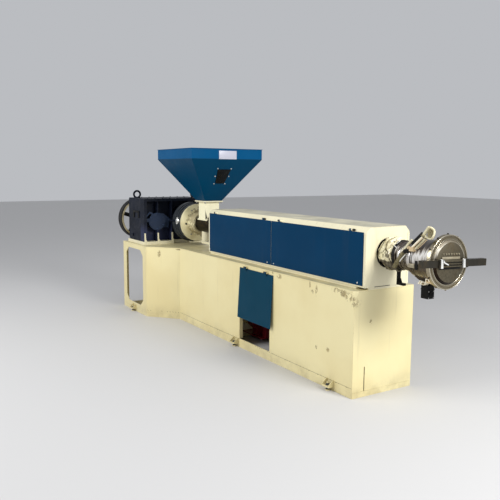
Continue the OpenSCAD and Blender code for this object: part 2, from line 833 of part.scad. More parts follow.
module die_body() {
  long = ring_x0 - adapter_x1;
  color(steel) translate([adapter_x1, 0, axis_z]) rotate([0, 90, 0]) rotate_extrude()
    polygon([[0, 0], [adapter_r, 0], [die_r - 20, long * 0.23], [die_r - 6, long * 0.43],
      [die_r - 1, long * 0.68], [die_r, long], [0, long]]);
}

// Ring with a rounded rim, a groove on its face and a deep round recess
module die_ring() {
  floor_z = plate_x1 - plate_t - ring_x0;
  color(steel) translate([ring_x0, 0, axis_z]) rotate([0, 90, 0]) rotate_extrude()
    polygon([[0, 0], [ring_r - 7, 0], [ring_r, 6], [ring_r, ring_t - 6], [ring_r - 3, ring_t],
      [ring_r - 12, ring_t], [ring_r - 14, ring_t - 5], [ring_r - 18, ring_t - 5], [ring_r - 20, ring_t - 1],
      [recess_r + 4, ring_t - 1], [recess_r, ring_t - 5], [recess_r, floor_z], [0, floor_z]]);
}

module tilted() {
  translate([0, 0, axis_z - 3]) rotate([bar_tilt, 0, 0]) translate([0, 0, -axis_z]) children();
}

module die_plate() {
  color(dark_steel) {
    rod_x([plate_x1 - plate_t + fit, plate_x1 - 6], recess_r - 1);
    rod_x([plate_x1 - 7, plate_x1], recess_r - 7);
  }
}

// Bar across the die face, with a grooved boss in the middle and a lug at either side of it
lug_y = 116;
boss_half = 84;
boss_h = 78;
module cross_bar() {
  half = bar_len / 2;
  boss_x = bar_x0 + 14;
  color(steel) tilted() difference() {
    union() {
      block([bar_x0, bar_x1], [bar_shift - half, bar_shift + half], [axis_z - bar_h / 2, axis_z + bar_h / 2]);
      block([plate_x1 + fit, boss_x], [-boss_half, boss_half], [axis_z - boss_h / 2, axis_z + boss_h / 2]);
      for (side = [-1, 1]) block([bar_x0, bar_x1 + 8],
        [side * lug_y - 18, side * lug_y + 18], [axis_z - bar_h / 2 - 4, axis_z + bar_h / 2 + 4]);
    }
    for (z = [axis_z - 14, axis_z + 2]) block([bar_x1 - 8, bar_x1 + 1], [-lug_y + 19, lug_y - 19], [z, z + 8]);
  }
}

// Sleeved leads along the near side of the die: a ribbed sleeve, a connector, two more sleeves and a cap
lead_y = -die_r + 5 - fit;
function lead(f, dz) = [adapter_x1 + f * die_len, lead_y, axis_z + dz];

module link(a, b, r) {
  d = b - a;
  translate(a) rotate([0, acos(d[2] / norm(d)), atan2(d[1], d[0])]) cylinder(h = norm(d), r = r);
}

module heater_leads() {
  sleeve_r = 14;
  clip_x = adapter_x1 + die_len * 0.23;
  bend_at = lead(0.09, -5);
  color(cream) difference() {
    union() {
      link(lead(0.01, -62), bend_at, sleeve_r);
      translate(bend_at) sphere(sleeve_r);
      link(bend_at, lead(0.273, 52), sleeve_r);
      link(lead(0.26, 50), lead(0.485, 78), 15);
      link(lead(0.471, 66), lead(0.8, 174), 12);
      link(lead(0.191, 46), lead(0.43, 131), 11);
      link(lead(0.782, 168), lead(1.003, 222), 34);
      block([clip_x - 5, clip_x], [lead_y, -die_r + 26], [axis_z + 18, axis_z + 28]);
    }
    rod_x([adapter_x1, clip_x + 1], die_r - 20 + fit);
  }
}

box_cx = 390;
module terminal_box() {
  color(black) {
    block([box_cx - 30, box_cx + 30], [-30, 30], [axis_z - 260, axis_z - 170]);
    for (x = [box_cx - 18, box_cx + 18]) block([x - 5, x + 5], [-8, 8], [axis_z - 171, axis_z - die_r + 1]);
  }
}

module cable_elbow() {
  x = [wrap_x0 + 96, wrap_x0 + 112];
  color(black) {
    block(x, [-12, 12], [axis_z - 210, axis_z - wrap_r - fit]);
    block([x[0], x[1] + 52], [-12, 12], [axis_z - 210, axis_z - 193]);
  }
}

// Grooved pulley with spokes, on its shaft
module pulley(cx, r_out, y, z, spoked) {
  half = pulley_w / 2;
  difference() {
    tube_x([cx - half, cx + half], r_out, spoked ? r_out - 34 : 20, y, z);
    for (i = [0 : belt_count - 1]) {
      x = cx + (i - (belt_count - 1) / 2) * belt_pitch;
      tube_x([x - groove_w / 2, x + groove_w / 2], r_out + 1, r_out - groove_depth, y, z);
    }
  }
}

module drive_pulley() {
  half = pulley_w / 2;
  color(cream) {
    pulley(pulley_cx, pulley_r, shaft_y, axis_z, true);
    rod_x([pulley_cx - half, pulley_cx + half], pulley_hub_r, shaft_y);
    rod_x([pulley_cx - half - 12, gearbox_x0 + 160], shaft_r, shaft_y);
    for (i = [0 : spoke_count - 1]) translate([pulley_cx, shaft_y, axis_z]) rotate([i * 360 / spoke_count, 0, 0])
      block([-13, 13], [-22, 22], [pulley_hub_r - 6, pulley_r - 33]);
  }
}

// Outline of a belt loop: two circles and the band between their tangents, in Y and Z
belt_dy = motor_y - shaft_y;
belt_dz = motor_z - axis_z;
belt_span = norm([belt_dy, belt_dz]);
// Points of an arc whose flats lie just outside the radius
function arc(c, r, a0, a1, n) = [for (i = [0 : n]) let (a = a0 + (a1 - a0) * i / n)
  c + r / cos((a1 - a0) / n / 2) * [cos(a), sin(a)]];

module loop_outline(r1, r2) {
  lean = acos((r1 - r2) / belt_span);
  dir = atan2(belt_dz, belt_dy);
  translate([shaft_y, axis_z]) polygon(concat(
    arc([0, 0], r1, dir + lean, dir - lean + 360, 30),
    arc([belt_dy, belt_dz], r2, dir - lean, dir + lean, 14)));
}

module v_belts() {
  lift = fit - groove_depth;
  color(black) for (i = [0 : belt_count - 1]) {
    x = pulley_cx + (i - (belt_count - 1) / 2) * belt_pitch;
    translate([x - belt_w / 2, 0, 0]) rotate([90, 0, 90]) linear_extrude(belt_w) difference() {
      loop_outline(pulley_r + lift + belt_t, motor_pulley_r + lift + belt_t);
      loop_outline(pulley_r + lift, motor_pulley_r + lift);
    }
  }
}

// Motor with a finned shell, end shields, fan cowl, feet and a terminal box
fin_count = 24;
fin_w = 6;
function fin_outline(r_in, r_out) = [for (i = [0 : fin_count - 1]) let (a = i * 360 / fin_count)
  for (p = [[r_in, -fin_w / 2], [r_out, -fin_w / 2], [r_out, fin_w / 2], [r_in, fin_w / 2]])
    [p[0] * cos(a) - p[1] * sin(a), p[0] * sin(a) + p[1] * cos(a)]];

module motor() {
  color(gear_blue) {
    difference() {
      union() {
        translate([motor_x0 + 40, motor_y, motor_z]) rotate([90, 0, 90]) linear_extrude(motor_len - 90)
          polygon(fin_outline(motor_r - 20, motor_r));
        rod_x([motor_x0, motor_x0 + 41], motor_r - 12, motor_y, motor_z);
        rod_x([motor_x1 - 51, motor_x1 + 110], motor_r - 8, motor_y, motor_z);
        rod_x([motor_x0 - 24, motor_x0 + 1], 80, motor_y, motor_z);
        block([motor_x0 + 60, motor_x1 - 60], [motor_y - 110, motor_y + 110], [shelf_z, motor_z - 110]);
        block([motor_x0 + 150, motor_x0 + 290], [motor_y - motor_r - 60, motor_y - motor_r + 60],
          [motor_z + 10, motor_z + 110]);
      }
      rod_x([motor_x0 - 30, motor_x0 + 120], motor_shaft_r + fit, motor_y, motor_z);
    }
  }
}

module motor_pulley() {
  half = pulley_w / 2;
  color(dark_steel) {
    pulley(pulley_cx, motor_pulley_r, motor_y, motor_z, false);
    rod_x([pulley_cx - half - 10, motor_x0 + 100], motor_shaft_r, motor_y, motor_z);
  }
}

// Shelf between the rear posts and a bracket frame standing on the sill
shelf_t = 12;
module motor_shelf() {
  y0 = motor_y - 180;
  y1 = half_p - sheet_t - 1;
  color(cream) {
    block([x_rear + sheet_t, x_wide - 2], [y0, y1], [shelf_z - shelf_t, shelf_z]);
    for (x = [x_rear + sheet_t, x_wide - 42]) for (y = [y0, y1 - 40])
      block([x, x + 40], [y, y + 40], [sill_h, shelf_z - shelf_t + 1]);
  }
}

base_sill();
base_near_wall();
base_far_wall();
base_end_wall();
base_deck();
taper_walls();
pedestal_near_wall();
pedestal_far_wall();
pedestal_rear_frame();
pedestal_deck();
access_door();
cooling_blower();
hood_sill();
hood_top();
hood_end_plates();
flap_near_feed();
flap_near_die();
flap_far_feed();
flap_far_die();
gearbox_foot();
gearbox_housing();
gearbox_lid();
bearing_cover();
thrust_housing();
feed_flange();
feed_throat();
barrel();
heater_bands();
barrel_support();
hopper_flange();
hopper();
sight_glass();
barrel_wrap();
adapter();
die_body();
die_ring();
die_plate();
cross_bar();
heater_leads();
terminal_box();
cable_elbow();
drive_pulley();
v_belts();
motor();
motor_pulley();
motor_shelf();
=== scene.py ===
"""Looks of a plastic extruder: painted sheet-steel base and hood, hopper, gearbox and die."""

import json
import math
import random

import bmesh
import bpy
from mathutils import Matrix, Vector, noise


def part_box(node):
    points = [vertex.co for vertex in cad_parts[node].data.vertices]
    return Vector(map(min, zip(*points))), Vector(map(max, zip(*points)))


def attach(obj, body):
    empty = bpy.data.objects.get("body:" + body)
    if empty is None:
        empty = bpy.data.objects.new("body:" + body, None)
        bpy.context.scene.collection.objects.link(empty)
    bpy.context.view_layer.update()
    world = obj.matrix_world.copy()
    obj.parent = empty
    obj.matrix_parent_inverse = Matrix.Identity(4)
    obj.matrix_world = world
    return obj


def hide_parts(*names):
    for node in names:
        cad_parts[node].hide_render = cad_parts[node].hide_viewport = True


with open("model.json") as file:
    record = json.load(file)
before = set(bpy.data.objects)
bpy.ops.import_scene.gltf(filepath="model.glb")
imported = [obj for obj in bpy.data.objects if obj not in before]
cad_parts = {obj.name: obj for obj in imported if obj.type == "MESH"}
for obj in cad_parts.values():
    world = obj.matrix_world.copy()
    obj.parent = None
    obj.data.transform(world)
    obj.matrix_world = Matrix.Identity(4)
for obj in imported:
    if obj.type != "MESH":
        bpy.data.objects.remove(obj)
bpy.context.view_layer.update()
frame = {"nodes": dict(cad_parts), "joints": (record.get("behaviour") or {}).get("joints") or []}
nodes = frame["nodes"]
hinges = {joint["child"]: Vector(joint["pos_m"]) for joint in frame["joints"]}
AHEAD, BACK, NEAR, FAR, UP, DOWN = (1, 0, 0), (-1, 0, 0), (0, -1, 0), (0, 1, 0), (0, 0, 1), (0, 0, -1)

# Places and lengths of the CAD model that its boxes don't give, in metres

AXIS_Z = 1.025
HALF_WIDTH = 0.285
SILL_TOP = 0.040
LUG_XS = (-0.240, -1.595)
FLANGE_BOSS = 0.125
COVER_Y = -0.338
LEAD_Y = -0.1263
MOTOR_Y, MOTOR_Z = 0.300, 0.560

# Camera of the photograph

CAMERA_PLACE = Vector((3.201, -3.124, 1.586))
CAMERA_YAW = 148.15
CAMERA_PITCH = -7.18
CAMERA_ROLL = 0.38
CAMERA_LENS = 44.88


def place_camera():
    yaw, pitch, roll = (math.radians(a) for a in (CAMERA_YAW, CAMERA_PITCH, CAMERA_ROLL))
    ahead = Vector((math.cos(yaw) * math.cos(pitch), math.sin(yaw) * math.cos(pitch), math.sin(pitch)))
    level = Vector((math.sin(yaw), -math.cos(yaw), 0))
    up = level.cross(ahead)
    right = math.cos(roll) * level + math.sin(roll) * up
    top = math.cos(roll) * up - math.sin(roll) * level
    data = bpy.data.cameras.new("photo_camera")
    data.lens = CAMERA_LENS
    data.sensor_width = 36
    data.clip_end = 100
    camera = bpy.data.objects.new("photo_camera", data)
    turn = Matrix((right, top, -ahead)).transposed().to_4x4()
    camera.matrix_world = Matrix.Translation(CAMERA_PLACE) @ turn
    bpy.context.scene.collection.objects.link(camera)
    bpy.context.scene.camera = camera


# Floor, world and lamps

FLOOR_TONE = (0.60, 0.595, 0.59)
SKY_TONE = (0.80, 0.82, 0.86)
SKY_STRENGTH = 0.62


def lamp(name, place, aim, size, power):
    data = bpy.data.lights.new(name, "AREA")
    data.shape = "RECTANGLE"
    data.size, data.size_y = size
    data.energy = power
    obj = bpy.data.objects.new(name, data)
    turn = (Vector(aim) - Vector(place)).to_track_quat("-Z", "Y").to_matrix().to_4x4()
    obj.matrix_world = Matrix.Translation(place) @ turn
    bpy.context.scene.collection.objects.link(obj)


def set_stage():
    scene = bpy.context.scene
    scene.view_settings.view_transform = "Standard"
    world = bpy.data.worlds.new("pale_room")
    world.use_nodes = True
    world.node_tree.nodes["Background"].inputs["Color"].default_value = (*SKY_TONE, 1)
    world.node_tree.nodes["Background"].inputs["Strength"].default_value = SKY_STRENGTH
    scene.world = world
    bpy.ops.mesh.primitive_plane_add(size=60)
    floor = bpy.context.object
    floor.name = "floor"
    finish = bpy.data.materials.new("pale_floor")
    finish.use_nodes = True
    shader = finish.node_tree.nodes["Principled BSDF"]
    shader.inputs["Base Color"].default_value = (*FLOOR_TONE, 1)
    shader.inputs["Roughness"].default_value = 0.7
    floor.data.materials.append(finish)
    lamp("die_side_lamp", (4.5, 0.8, 4.0), (-0.5, 0, 0.8), (2.0, 2.0), 330)
    lamp("door_side_lamp", (-2.5, -6.0, 4.2), (-1.9, 0, 0.7), (4.0, 2.5), 260)


# Finishes


def tone(*levels):
    """A colour written as it looks on screen, from 0 to 255, as the shader takes it."""
    return tuple(((v / 255 + 0.055) / 1.055) ** 2.4 if v > 10 else v / 255 / 12.92 for v in levels)


def shaded(colour, *factors):
    """A colour with red, green and blue each times a factor."""
    return tuple(c * s for c, s in zip(colour, factors))


class Finish:
    """A material in the making, with short names for the nodes that it is built from."""

    def __init__(self, name, shine=0.5, metal=0.0):
        self.material = bpy.data.materials.new(name)
        self.material.use_nodes = True
        self.tree = self.material.node_tree
        self.shader = self.tree.nodes["Principled BSDF"]
        self.feed(self.shader, {"Specular IOR Level": shine, "Metallic": metal})
        self.place = self.add("TexCoord").outputs["Object"]

    def feed(self, node, inputs):
        """Gives a node its inputs, each a number, a colour or the output of another node."""
        for key, value in inputs.items():
            socket = node.inputs[key]
            if isinstance(value, bpy.types.NodeSocket):
                self.tree.links.new(value, socket)
            else:
                socket.default_value = (*value, 1) if socket.type == "RGBA" else value

    def add(self, kind, inputs=None, **settings):
        node = self.tree.nodes.new("ShaderNode" + kind)
        for key, value in settings.items():
            setattr(node, key, value)
        self.feed(node, inputs or {})
        return node

    def stretched(self, stretch, shift):
        inputs = {"Vector": self.place, "Scale": stretch, "Location": shift}
        return self.add("Mapping", inputs).outputs["Vector"]

    def noise(self, scale, detail=3.0, rough=0.5, stretch=(1, 1, 1), shift=(0, 0, 0)):
        place = self.stretched(stretch, shift)
        inputs = {"Vector": place, "Scale": scale, "Detail": detail, "Roughness": rough}
        return self.add("TexNoise", inputs).outputs["Fac"]

    def ramp(self, value, low, high, to_low=0.0, to_high=1.0):
        inputs = {"Value": value, "From Min": low, "From Max": high, "To Min": to_low, "To Max": to_high}
        return self.add("MapRange", inputs, clamp=True, interpolation_type="SMOOTHSTEP").outputs["Result"]

    def maths(self, operation, first, second):
        return self.add("Math", {0: first, 1: second}, operation=operation).outputs[0]

    def times(self, first, second):
        return self.maths("MULTIPLY", first, second)

    def plus(self, first, second):
        return self.maths("ADD", first, second)

    def mix(self, amount, first, second):
        inputs = {"Factor": amount, "A": first, "B": second}
        return self.add("Mix", inputs, data_type="RGBA").outputs["Result"]

    def axis(self, letter, vector=None):
        return self.add("SeparateXYZ", {0: vector or self.place}).outputs[letter]

    def length(self, vector):
        return self.add("VectorMath", {0: vector}, operation="LENGTH").outputs["Value"]

    def from_line(self, y, z):
        """Distance from a line along X."""
        return self.length(self.stretched((0, 1, 1), (0, -y, -z)))

    def painted_light_bands(self, value, stops):
        """A colour that runs through stops, each a value and a colour, written from low to high."""
        low, high = stops[0][0], stops[-1][0]
        even = self.add("MapRange", {"Value": value, "From Min": low, "From Max": high}, clamp=True)
        node = self.add("ValToRGB", {"Fac": even.outputs["Result"]})
        for place, _ in stops[1:-1]:
            node.color_ramp.elements.new((place - low) / (high - low))
        for stop, (_, colour) in zip(node.color_ramp.elements, stops):
            stop.color = (*colour, 1)
        return node.outputs["Color"]

    def facing_up(self):
        """1 on upward faces, where dust settles and shade is painted."""
        return self.ramp(self.axis("Z", self.add("NewGeometry").outputs["Normal"]), 0.80, 0.98)

    def near(self, point, reach):
        """1 close to the point, falling to 0 at reach along each axis."""
        moved = self.stretched([1 / r for r in reach], [-p / r for p, r in zip(point, reach)])
        return self.ramp(self.length(moved), 1.0, 0.35)

    def worn_edges(self, radius=0.004):
        """1 along edges, where a rounded normal turns away from the true one."""
        rounded = self.add("Bevel", {"Radius": radius}, samples=4).outputs["Normal"]
        plain = self.add("NewGeometry").outputs["Normal"]
        dot = self.add("VectorMath", {0: rounded, 1: plain}, operation="DOT_PRODUCT")
        return self.ramp(dot.outputs["Value"], 0.995, 0.85)

    def bump(self, height, distance, under=None):
        inputs = {"Strength": 1.0, "Distance": distance, "Height": height}
        if under:
            inputs["Normal"] = under
        return self.add("Bump", inputs).outputs["Normal"]

    def done(self, colour, roughness, normal=None):
        self.feed(self.shader, {"Base Color": colour, "Roughness": roughness})
        if normal:
            self.feed(self.shader, {"Normal": normal})
        return self.material


DIRT = tone(112, 96, 66)
PRIMER = tone(150, 134, 100)
# Grey of settled dust, dark enough that on upward faces it also paints shade
DUST_AND_TOP_SHADE = tone(116, 114, 98)


def sheet_waves(f):
    """Slight waves of a sheet, with the orange peel of sprayed paint on them."""
    waves = f.bump(f.noise(1.7, 1.0, stretch=(1, 1, 1.3)), 0.0144)
    return f.bump(f.noise(420, 1.0), 0.00012, waves)


def aged(f, base, chips, top_dust_and_shade_low=0.0, top_dust_and_shade_high=0.0):
    """Dust on upward faces, in a grey dark enough to paint shade there too, and primer along rubbed edges."""
    if top_dust_and_shade_high:
        # Upward faces take dust that also paints shade on them
        top_dust_and_shade = f.times(f.facing_up(), f.ramp(f.noise(5, 5.0, 0.6), 0.3, 0.7, top_dust_and_shade_low, top_dust_and_shade_high))
        base = f.mix(top_dust_and_shade, base, DUST_AND_TOP_SHADE)
    rubbed = f.times(f.worn_edges(), f.ramp(f.noise(60, 4.0, 0.7), 0.5, 0.62, 0.05, chips))
    return f.mix(rubbed, base, PRIMER)


def cast_skin(f, depth):
    """The fine grain of a casting on broader lumps of the given depth."""
    return f.bump(f.noise(190, 3.0), 0.0006, f.bump(f.noise(14, 2.0), depth))


def painted(name, colour, rough=0.36, dirt=0.25, shade=0.92, chips=0.35, shine=0.5, dust=0.0, shade_below=None):
    """Sprayed paint: cloudy, dusty with painted shade on top, streaked, rubbed at edges; below is (height,
    colour) of a lower part painted darker as shade.
    """
    f = Finish(name, shine)
    if shade_below:
        # Under the given height the colour is darker: painted shade
        colour = f.mix(f.ramp(f.axis("Z"), shade_below[0] - 0.003, shade_below[0] + 0.003), shade_below[1], colour)
    base = f.mix(f.ramp(f.noise(2.3, 4.0), 0.35, 0.68, 0.0, 1.0 - shade), colour, (0, 0, 0))
    streaks = f.times(f.ramp(f.noise(1.0, 5.0, 0.6, stretch=(16, 16, 1.4)), 0.56, 0.80), dirt)
    base = f.mix(streaks, base, DIRT)
    if dirt > 0.1:
        spots = f.times(f.ramp(f.noise(34, 2.0, 0.7), 0.72, 0.80), dirt * 1.4)
        base = f.mix(spots, base, DIRT)
    base = aged(f, base, chips, dust * 0.5, dust)
    gloss = f.plus(f.ramp(f.noise(9, 4.0, 0.6), 0.3, 0.7, rough - 0.06, rough + 0.08), streaks)
    return f.done(base, gloss, sheet_waves(f))


def base_paint():
    """Cream paint of the base: grimy by the floor, scuffed along the top edge on the door side."""
    f = Finish("base_cream")
    cream = tone(234, 222, 172)
    base = f.mix(f.ramp(f.noise(1.6, 4.0), 0.35, 0.68), cream, shaded(cream, 0.93, 0.90, 0.84))
    streaks = f.ramp(f.noise(1.0, 5.0, 0.6, stretch=(14, 14, 1.1)), 0.60, 0.84, 0.0, 0.22)
    base = f.mix(streaks, base, DIRT)
    low = f.times(f.ramp(f.axis("Z"), 0.17, 0.0), f.ramp(f.noise(7, 5.0, 0.65), 0.36, 0.66, 0.1, 0.75))
    base = f.mix(f.times(low, 0.4), base, DIRT)
    marks = f.ramp(f.noise(6.0, 6.0, 0.8, stretch=(1, 1, 0.5), shift=(4.0, 0, 0)), 0.70, 0.80, 0.0, 0.3)
    marked = f.mix(marks, base, DIRT)
    # Upward faces take dust that also paints shade on them
    top_dust_and_shade = f.times(f.facing_up(), f.ramp(f.noise(5, 5.0, 0.6), 0.3, 0.7, 0.1, 0.45))
    with_top_dust_and_shade = f.mix(top_dust_and_shade, marked, DUST_AND_TOP_SHADE)
    scuffs = None
    for place, reach in SCUFFS:
        patch = f.near(place, reach)
        scuffs = f.maths("MAXIMUM", scuffs, patch) if scuffs else patch
    flaking = f.noise(1.0, 5.0, 0.7, stretch=(36, 36, 24))
    flaked = f.times(scuffs, f.ramp(flaking, 0.485, 0.515, 0.0, 0.9))
    base = f.mix(flaked, with_top_dust_and_shade, tone(172, 154, 108))
    base = f.mix(f.times(flaked, f.ramp(flaking, 0.56, 0.515)), base, tone(92, 76, 46))
    base = aged(f, base, 0.4)
    gloss = f.plus(f.ramp(f.noise(9, 4.0, 0.6), 0.3, 0.7, 0.34, 0.46), f.times(scuffs, 0.25))
    return f.done(base, gloss, sheet_waves(f))


def bare_steel(name, colour, rough, stain=0.4, lines=(260, 8, 8), metal=1.0, painted_light_bands=None):
    """Turned or drawn steel with fine tool lines and stains; bands are colours by height, with streaks, that
    paint highlight and shade.
    """
    f = Finish(name, metal=metal)
    drawn = f.noise(1.0, 3.0, 0.6, stretch=lines)
    if painted_light_bands:
        # Streaks make the edges of the painted highlight and shade jagged
        streaks = f.ramp(f.noise(1.0, 3.0, 0.75, stretch=(70, 4, 4)), 0.34, 0.66, -0.030, 0.030)
        colour = f.painted_light_bands(f.plus(f.axis("Z"), streaks), painted_light_bands)
    base = f.mix(f.ramp(drawn, 0.3, 0.7, 0.0, 0.28), colour, (0, 0, 0))
    cloud = f.times(f.ramp(f.noise(13, 5.0, 0.65), 0.45, 0.72), stain)
    base = f.mix(cloud, base, tone(92, 76, 52))
    gloss = f.plus(f.ramp(drawn, 0.25, 0.75, rough - 0.06, rough + 0.1), f.times(cloud, 0.35))
    return f.done(base, gloss, f.bump(drawn, 0.0002))


def cast_paint(name, colour, rough=0.5, pocket=None):
    """Painted casting: grainy skin, edges lightened by rubbing and by painted highlight, and a paler tone low
    in the pocket of the housing that paints light there.
    """
    f = Finish(name, 0.2)
    base = f.mix(f.ramp(f.noise(5, 5.0), 0.3, 0.7), colour, shaded(colour, 0.72, 0.72, 0.72))
    if pocket:
        # Paler low in the pocket: painted light on the recess of the housing
        inside = f.times(f.ramp(f.axis("X"), -3.345, -3.338), f.ramp(f.axis("Z"), 1.02, 0.90))
        base = f.mix(inside, base, pocket)
    dust = f.ramp(f.noise(22, 4.0, 0.7), 0.55, 0.8, 0.0, 0.10)
    base = f.mix(dust, base, tone(104, 104, 108))
    # Lighter edges: partly rubbed paint, partly painted highlight
    edge = f.times(f.worn_edges(0.005), f.ramp(f.noise(40, 4.0), 0.4, 0.6, 0.15, 0.75))
    base = f.mix(edge, base, tuple(min(1, c * 2.6 + 0.01) for c in colour))
    rusty = f.ramp(f.noise(11, 6.0, 0.7, shift=(3, 1, 2)), 0.66, 0.74, 0.0, 0.15)
    base = f.mix(rusty, base, tone(96, 66, 44))
    gloss = f.ramp(f.noise(12, 4.0), 0.3, 0.7, rough - 0.08, rough + 0.1)
    return f.done(base, gloss, cast_skin(f, 0.003))


def moulded(name, colour, rough=0.5, dusty=0.25, shine=0.5):
    """Rubber, plastic or ceramic, dusty, with a fine skin."""
    f = Finish(name, shine)
    dust = f.ramp(f.noise(30, 5.0, 0.7), 0.5, 0.8, 0.0, dusty)
    base = f.mix(dust, colour, tone(92, 88, 80))
    gloss = f.ramp(f.noise(18, 3.0), 0.3, 0.7, rough - 0.08, rough + 0.1)
    return f.done(base, gloss, f.bump(f.noise(700, 2.0), 0.0002))


def woven(name, colour, specks=0.0, burnt_and_shaded_below=None):
    """Glass cloth or braid: fine threads, brown in patches, darker in creases as painted shade and where
    grimy, darker low down as painted shade and burn, with dark specks if asked.
    """
    f = Finish(name)
    threads = f.times(f.noise(1.0, 1.0, stretch=(900, 220, 220)), f.noise(1.0, 1.0, stretch=(160, 700, 700)))
    browned = f.ramp(f.noise(24, 5.0, 0.7), 0.44, 0.66, 0.0, 0.85)
    base = f.mix(browned, colour, shaded(colour, 0.60, 0.53, 0.40))
    base = f.mix(f.ramp(threads, 0.16, 0.34, 0.22, 0.0), base, shaded(colour, 0.5, 0.5, 0.5))
    soil = f.add("Attribute", attribute_name="soil").outputs["Fac"]
    # Darker where the soil attribute is high: painted shade in the creases of the wrap, and grime at its
    # burnt hole
    base = f.mix(f.times(soil, f.ramp(f.noise(30, 4.0), 0.25, 0.6, 0.7, 1.0)), base, tone(66, 54, 40))
    if burnt_and_shaded_below:
        # Under the given height the cloth turns dark brown: painted shade, partly burnt cloth
        height = f.plus(f.axis("Z"), f.ramp(f.noise(30, 3.0), 0.3, 0.7, -0.006, 0.006))
        base = f.mix(f.ramp(height, burnt_and_shaded_below, burnt_and_shaded_below - 0.008, 0.0, 0.88), base, tone(62, 52, 38))
    if specks:
        base = f.mix(f.ramp(f.noise(170, 2.0, 0.6), 0.56, 0.62, 0.0, specks), base, tone(30, 28, 22))
    return f.done(base, 0.85, f.bump(threads, 0.0006, f.bump(f.noise(60, 4.0), 0.0012)))


def pulley_paint():
    """Black grooved rim and dark spokes, with a cream side to the rim."""
    f = Finish("pulley_finish")
    away = f.from_line(hinges["drive_pulley"].y, hinges["drive_pulley"].z)
    side = f.times(f.ramp(away, 0.196, 0.198), f.ramp(away, 0.2245, 0.2225))
    cream = f.mix(f.ramp(f.noise(8, 4.0), 0.35, 0.7), tone(226, 214, 176), tone(170, 156, 118))
    black = f.mix(f.ramp(f.noise(30, 4.0), 0.4, 0.75), tone(22, 22, 24), tone(58, 56, 54))
    gloss = f.ramp(f.noise(16, 3.0), 0.3, 0.7, 0.4, 0.55)
    return f.done(f.mix(side, black, cream), gloss, f.bump(f.noise(200, 2.0), 0.0003))


def flange_paint():
    """Cream casting with a ragged darker patch round the neck, which paints a shadow, and chips of rust."""
    f = Finish("flange_cream")
    base = f.mix(f.ramp(f.noise(9, 5.0), 0.35, 0.7), tone(236, 228, 188), tone(214, 202, 158))
    # The ragged darker patch round the neck paints the shadow of the hopper and throat
    ragged = f.ramp(f.noise(26, 5.0, 0.75), 0.3, 0.7, -0.030, 0.030)
    away = f.plus(f.from_line(0.040, AXIS_Z + 0.004), ragged)
    base = f.mix(f.ramp(away, 0.158, 0.150, 0.0, 0.85), base, tone(158, 146, 112))
    chips = f.ramp(f.noise(16, 6.0, 0.7, shift=(3, 1, 2)), 0.62, 0.70, 0.0, 0.5)
    base = f.mix(chips, base, tone(120, 98, 62))
    return f.done(base, f.ramp(f.noise(12, 4.0), 0.3, 0.7, 0.4, 0.6), cast_skin(f, 0.002))


def sight_pane():
    """Smoked window, nearly black, with a film of plastic dust."""
    f = Finish("smoked_window", 0.15)
    base = f.mix(f.ramp(f.noise(14, 5.0, 0.7), 0.5, 0.8, 0.0, 0.3), tone(16, 18, 19), tone(58, 58, 54))
    return f.done(base, f.ramp(f.noise(20, 4.0), 0.3, 0.7, 0.12, 0.3))


# Colours of steel by height above the floor, in metres; they paint highlight and shade onto round parts

# Adapter: dark brown heat stain low down, a painted highlight band across the middle, and painted shade above
# it
BURNT_HIGHLIGHT_BANDS = [(0.930, tone(58, 48, 34)), (1.015, tone(64, 54, 40)), (1.028, tone(150, 142, 130)),
               (1.050, tone(206, 200, 190)), (1.066, tone(176, 168, 158)), (1.074, tone(88, 80, 74)),
               (1.120, tone(72, 64, 60))]
# Die body and heater sheet: painted highlight band across the middle, painted shade above it, and dark brown
# lower down that is partly painted shade
STEEL_HIGHLIGHT_BANDS = [(0.880, tone(140, 118, 76)), (0.918, tone(70, 54, 34)), (0.985, tone(72, 58, 42)),
               (0.998, tone(122, 112, 98)), (1.026, tone(206, 200, 192)), (1.062, tone(252, 250, 246)),
               (1.082, tone(206, 200, 192)), (1.094, tone(104, 96, 90)), (1.150, tone(58, 52, 48))]
# Chamfer of the die plate: painted highlight on its upper part and painted shadow on its lower part
CHAMFER_LIGHT_BANDS = [(0.900, tone(34, 24, 16)), (1.010, tone(52, 40, 28)), (1.050, tone(120, 110, 94)),
                 (1.080, tone(226, 218, 200)), (1.125, tone(250, 244, 230)), (1.150, tone(170, 160, 140))]

# Scuffs of the base paint, as (place, reach along each axis)

SCUFFS = [((-0.985, -0.285, 0.760), (0.055, 0.10, 0.020)), ((-0.915, -0.285, 0.742), (0.050, 0.10, 0.026)),
          ((-0.505, -0.285, 0.735), (0.012, 0.1, 0.050)), ((-0.475, -0.285, 0.69), (0.020, 0.1, 0.022)),
          ((-0.425, -0.285, 0.705), (0.018, 0.1, 0.055)), ((-0.20, -0.285, 0.748), (0.060, 0.1, 0.024)),
          ((-0.12, -0.285, 0.738), (0.060, 0.1, 0.034)), ((-0.06, -0.285, 0.722), (0.055, 0.1, 0.040)),
          ((-0.012, -0.285, 0.690), (0.020, 0.1, 0.060)), ((-2.97, -0.44, 0.70), (0.02, 0.3, 0.05)),
          ((-0.415, -0.285, 0.285), (0.014, 0.1, 0.040)), ((-0.278, -0.285, 0.290), (0.024, 0.1, 0.024)),
          ((0.0, -0.128, 0.538), (0.1, 0.018, 0.026)), ((-2.79, -0.285, 0.755), (0.06, 0.06, 0.012))]


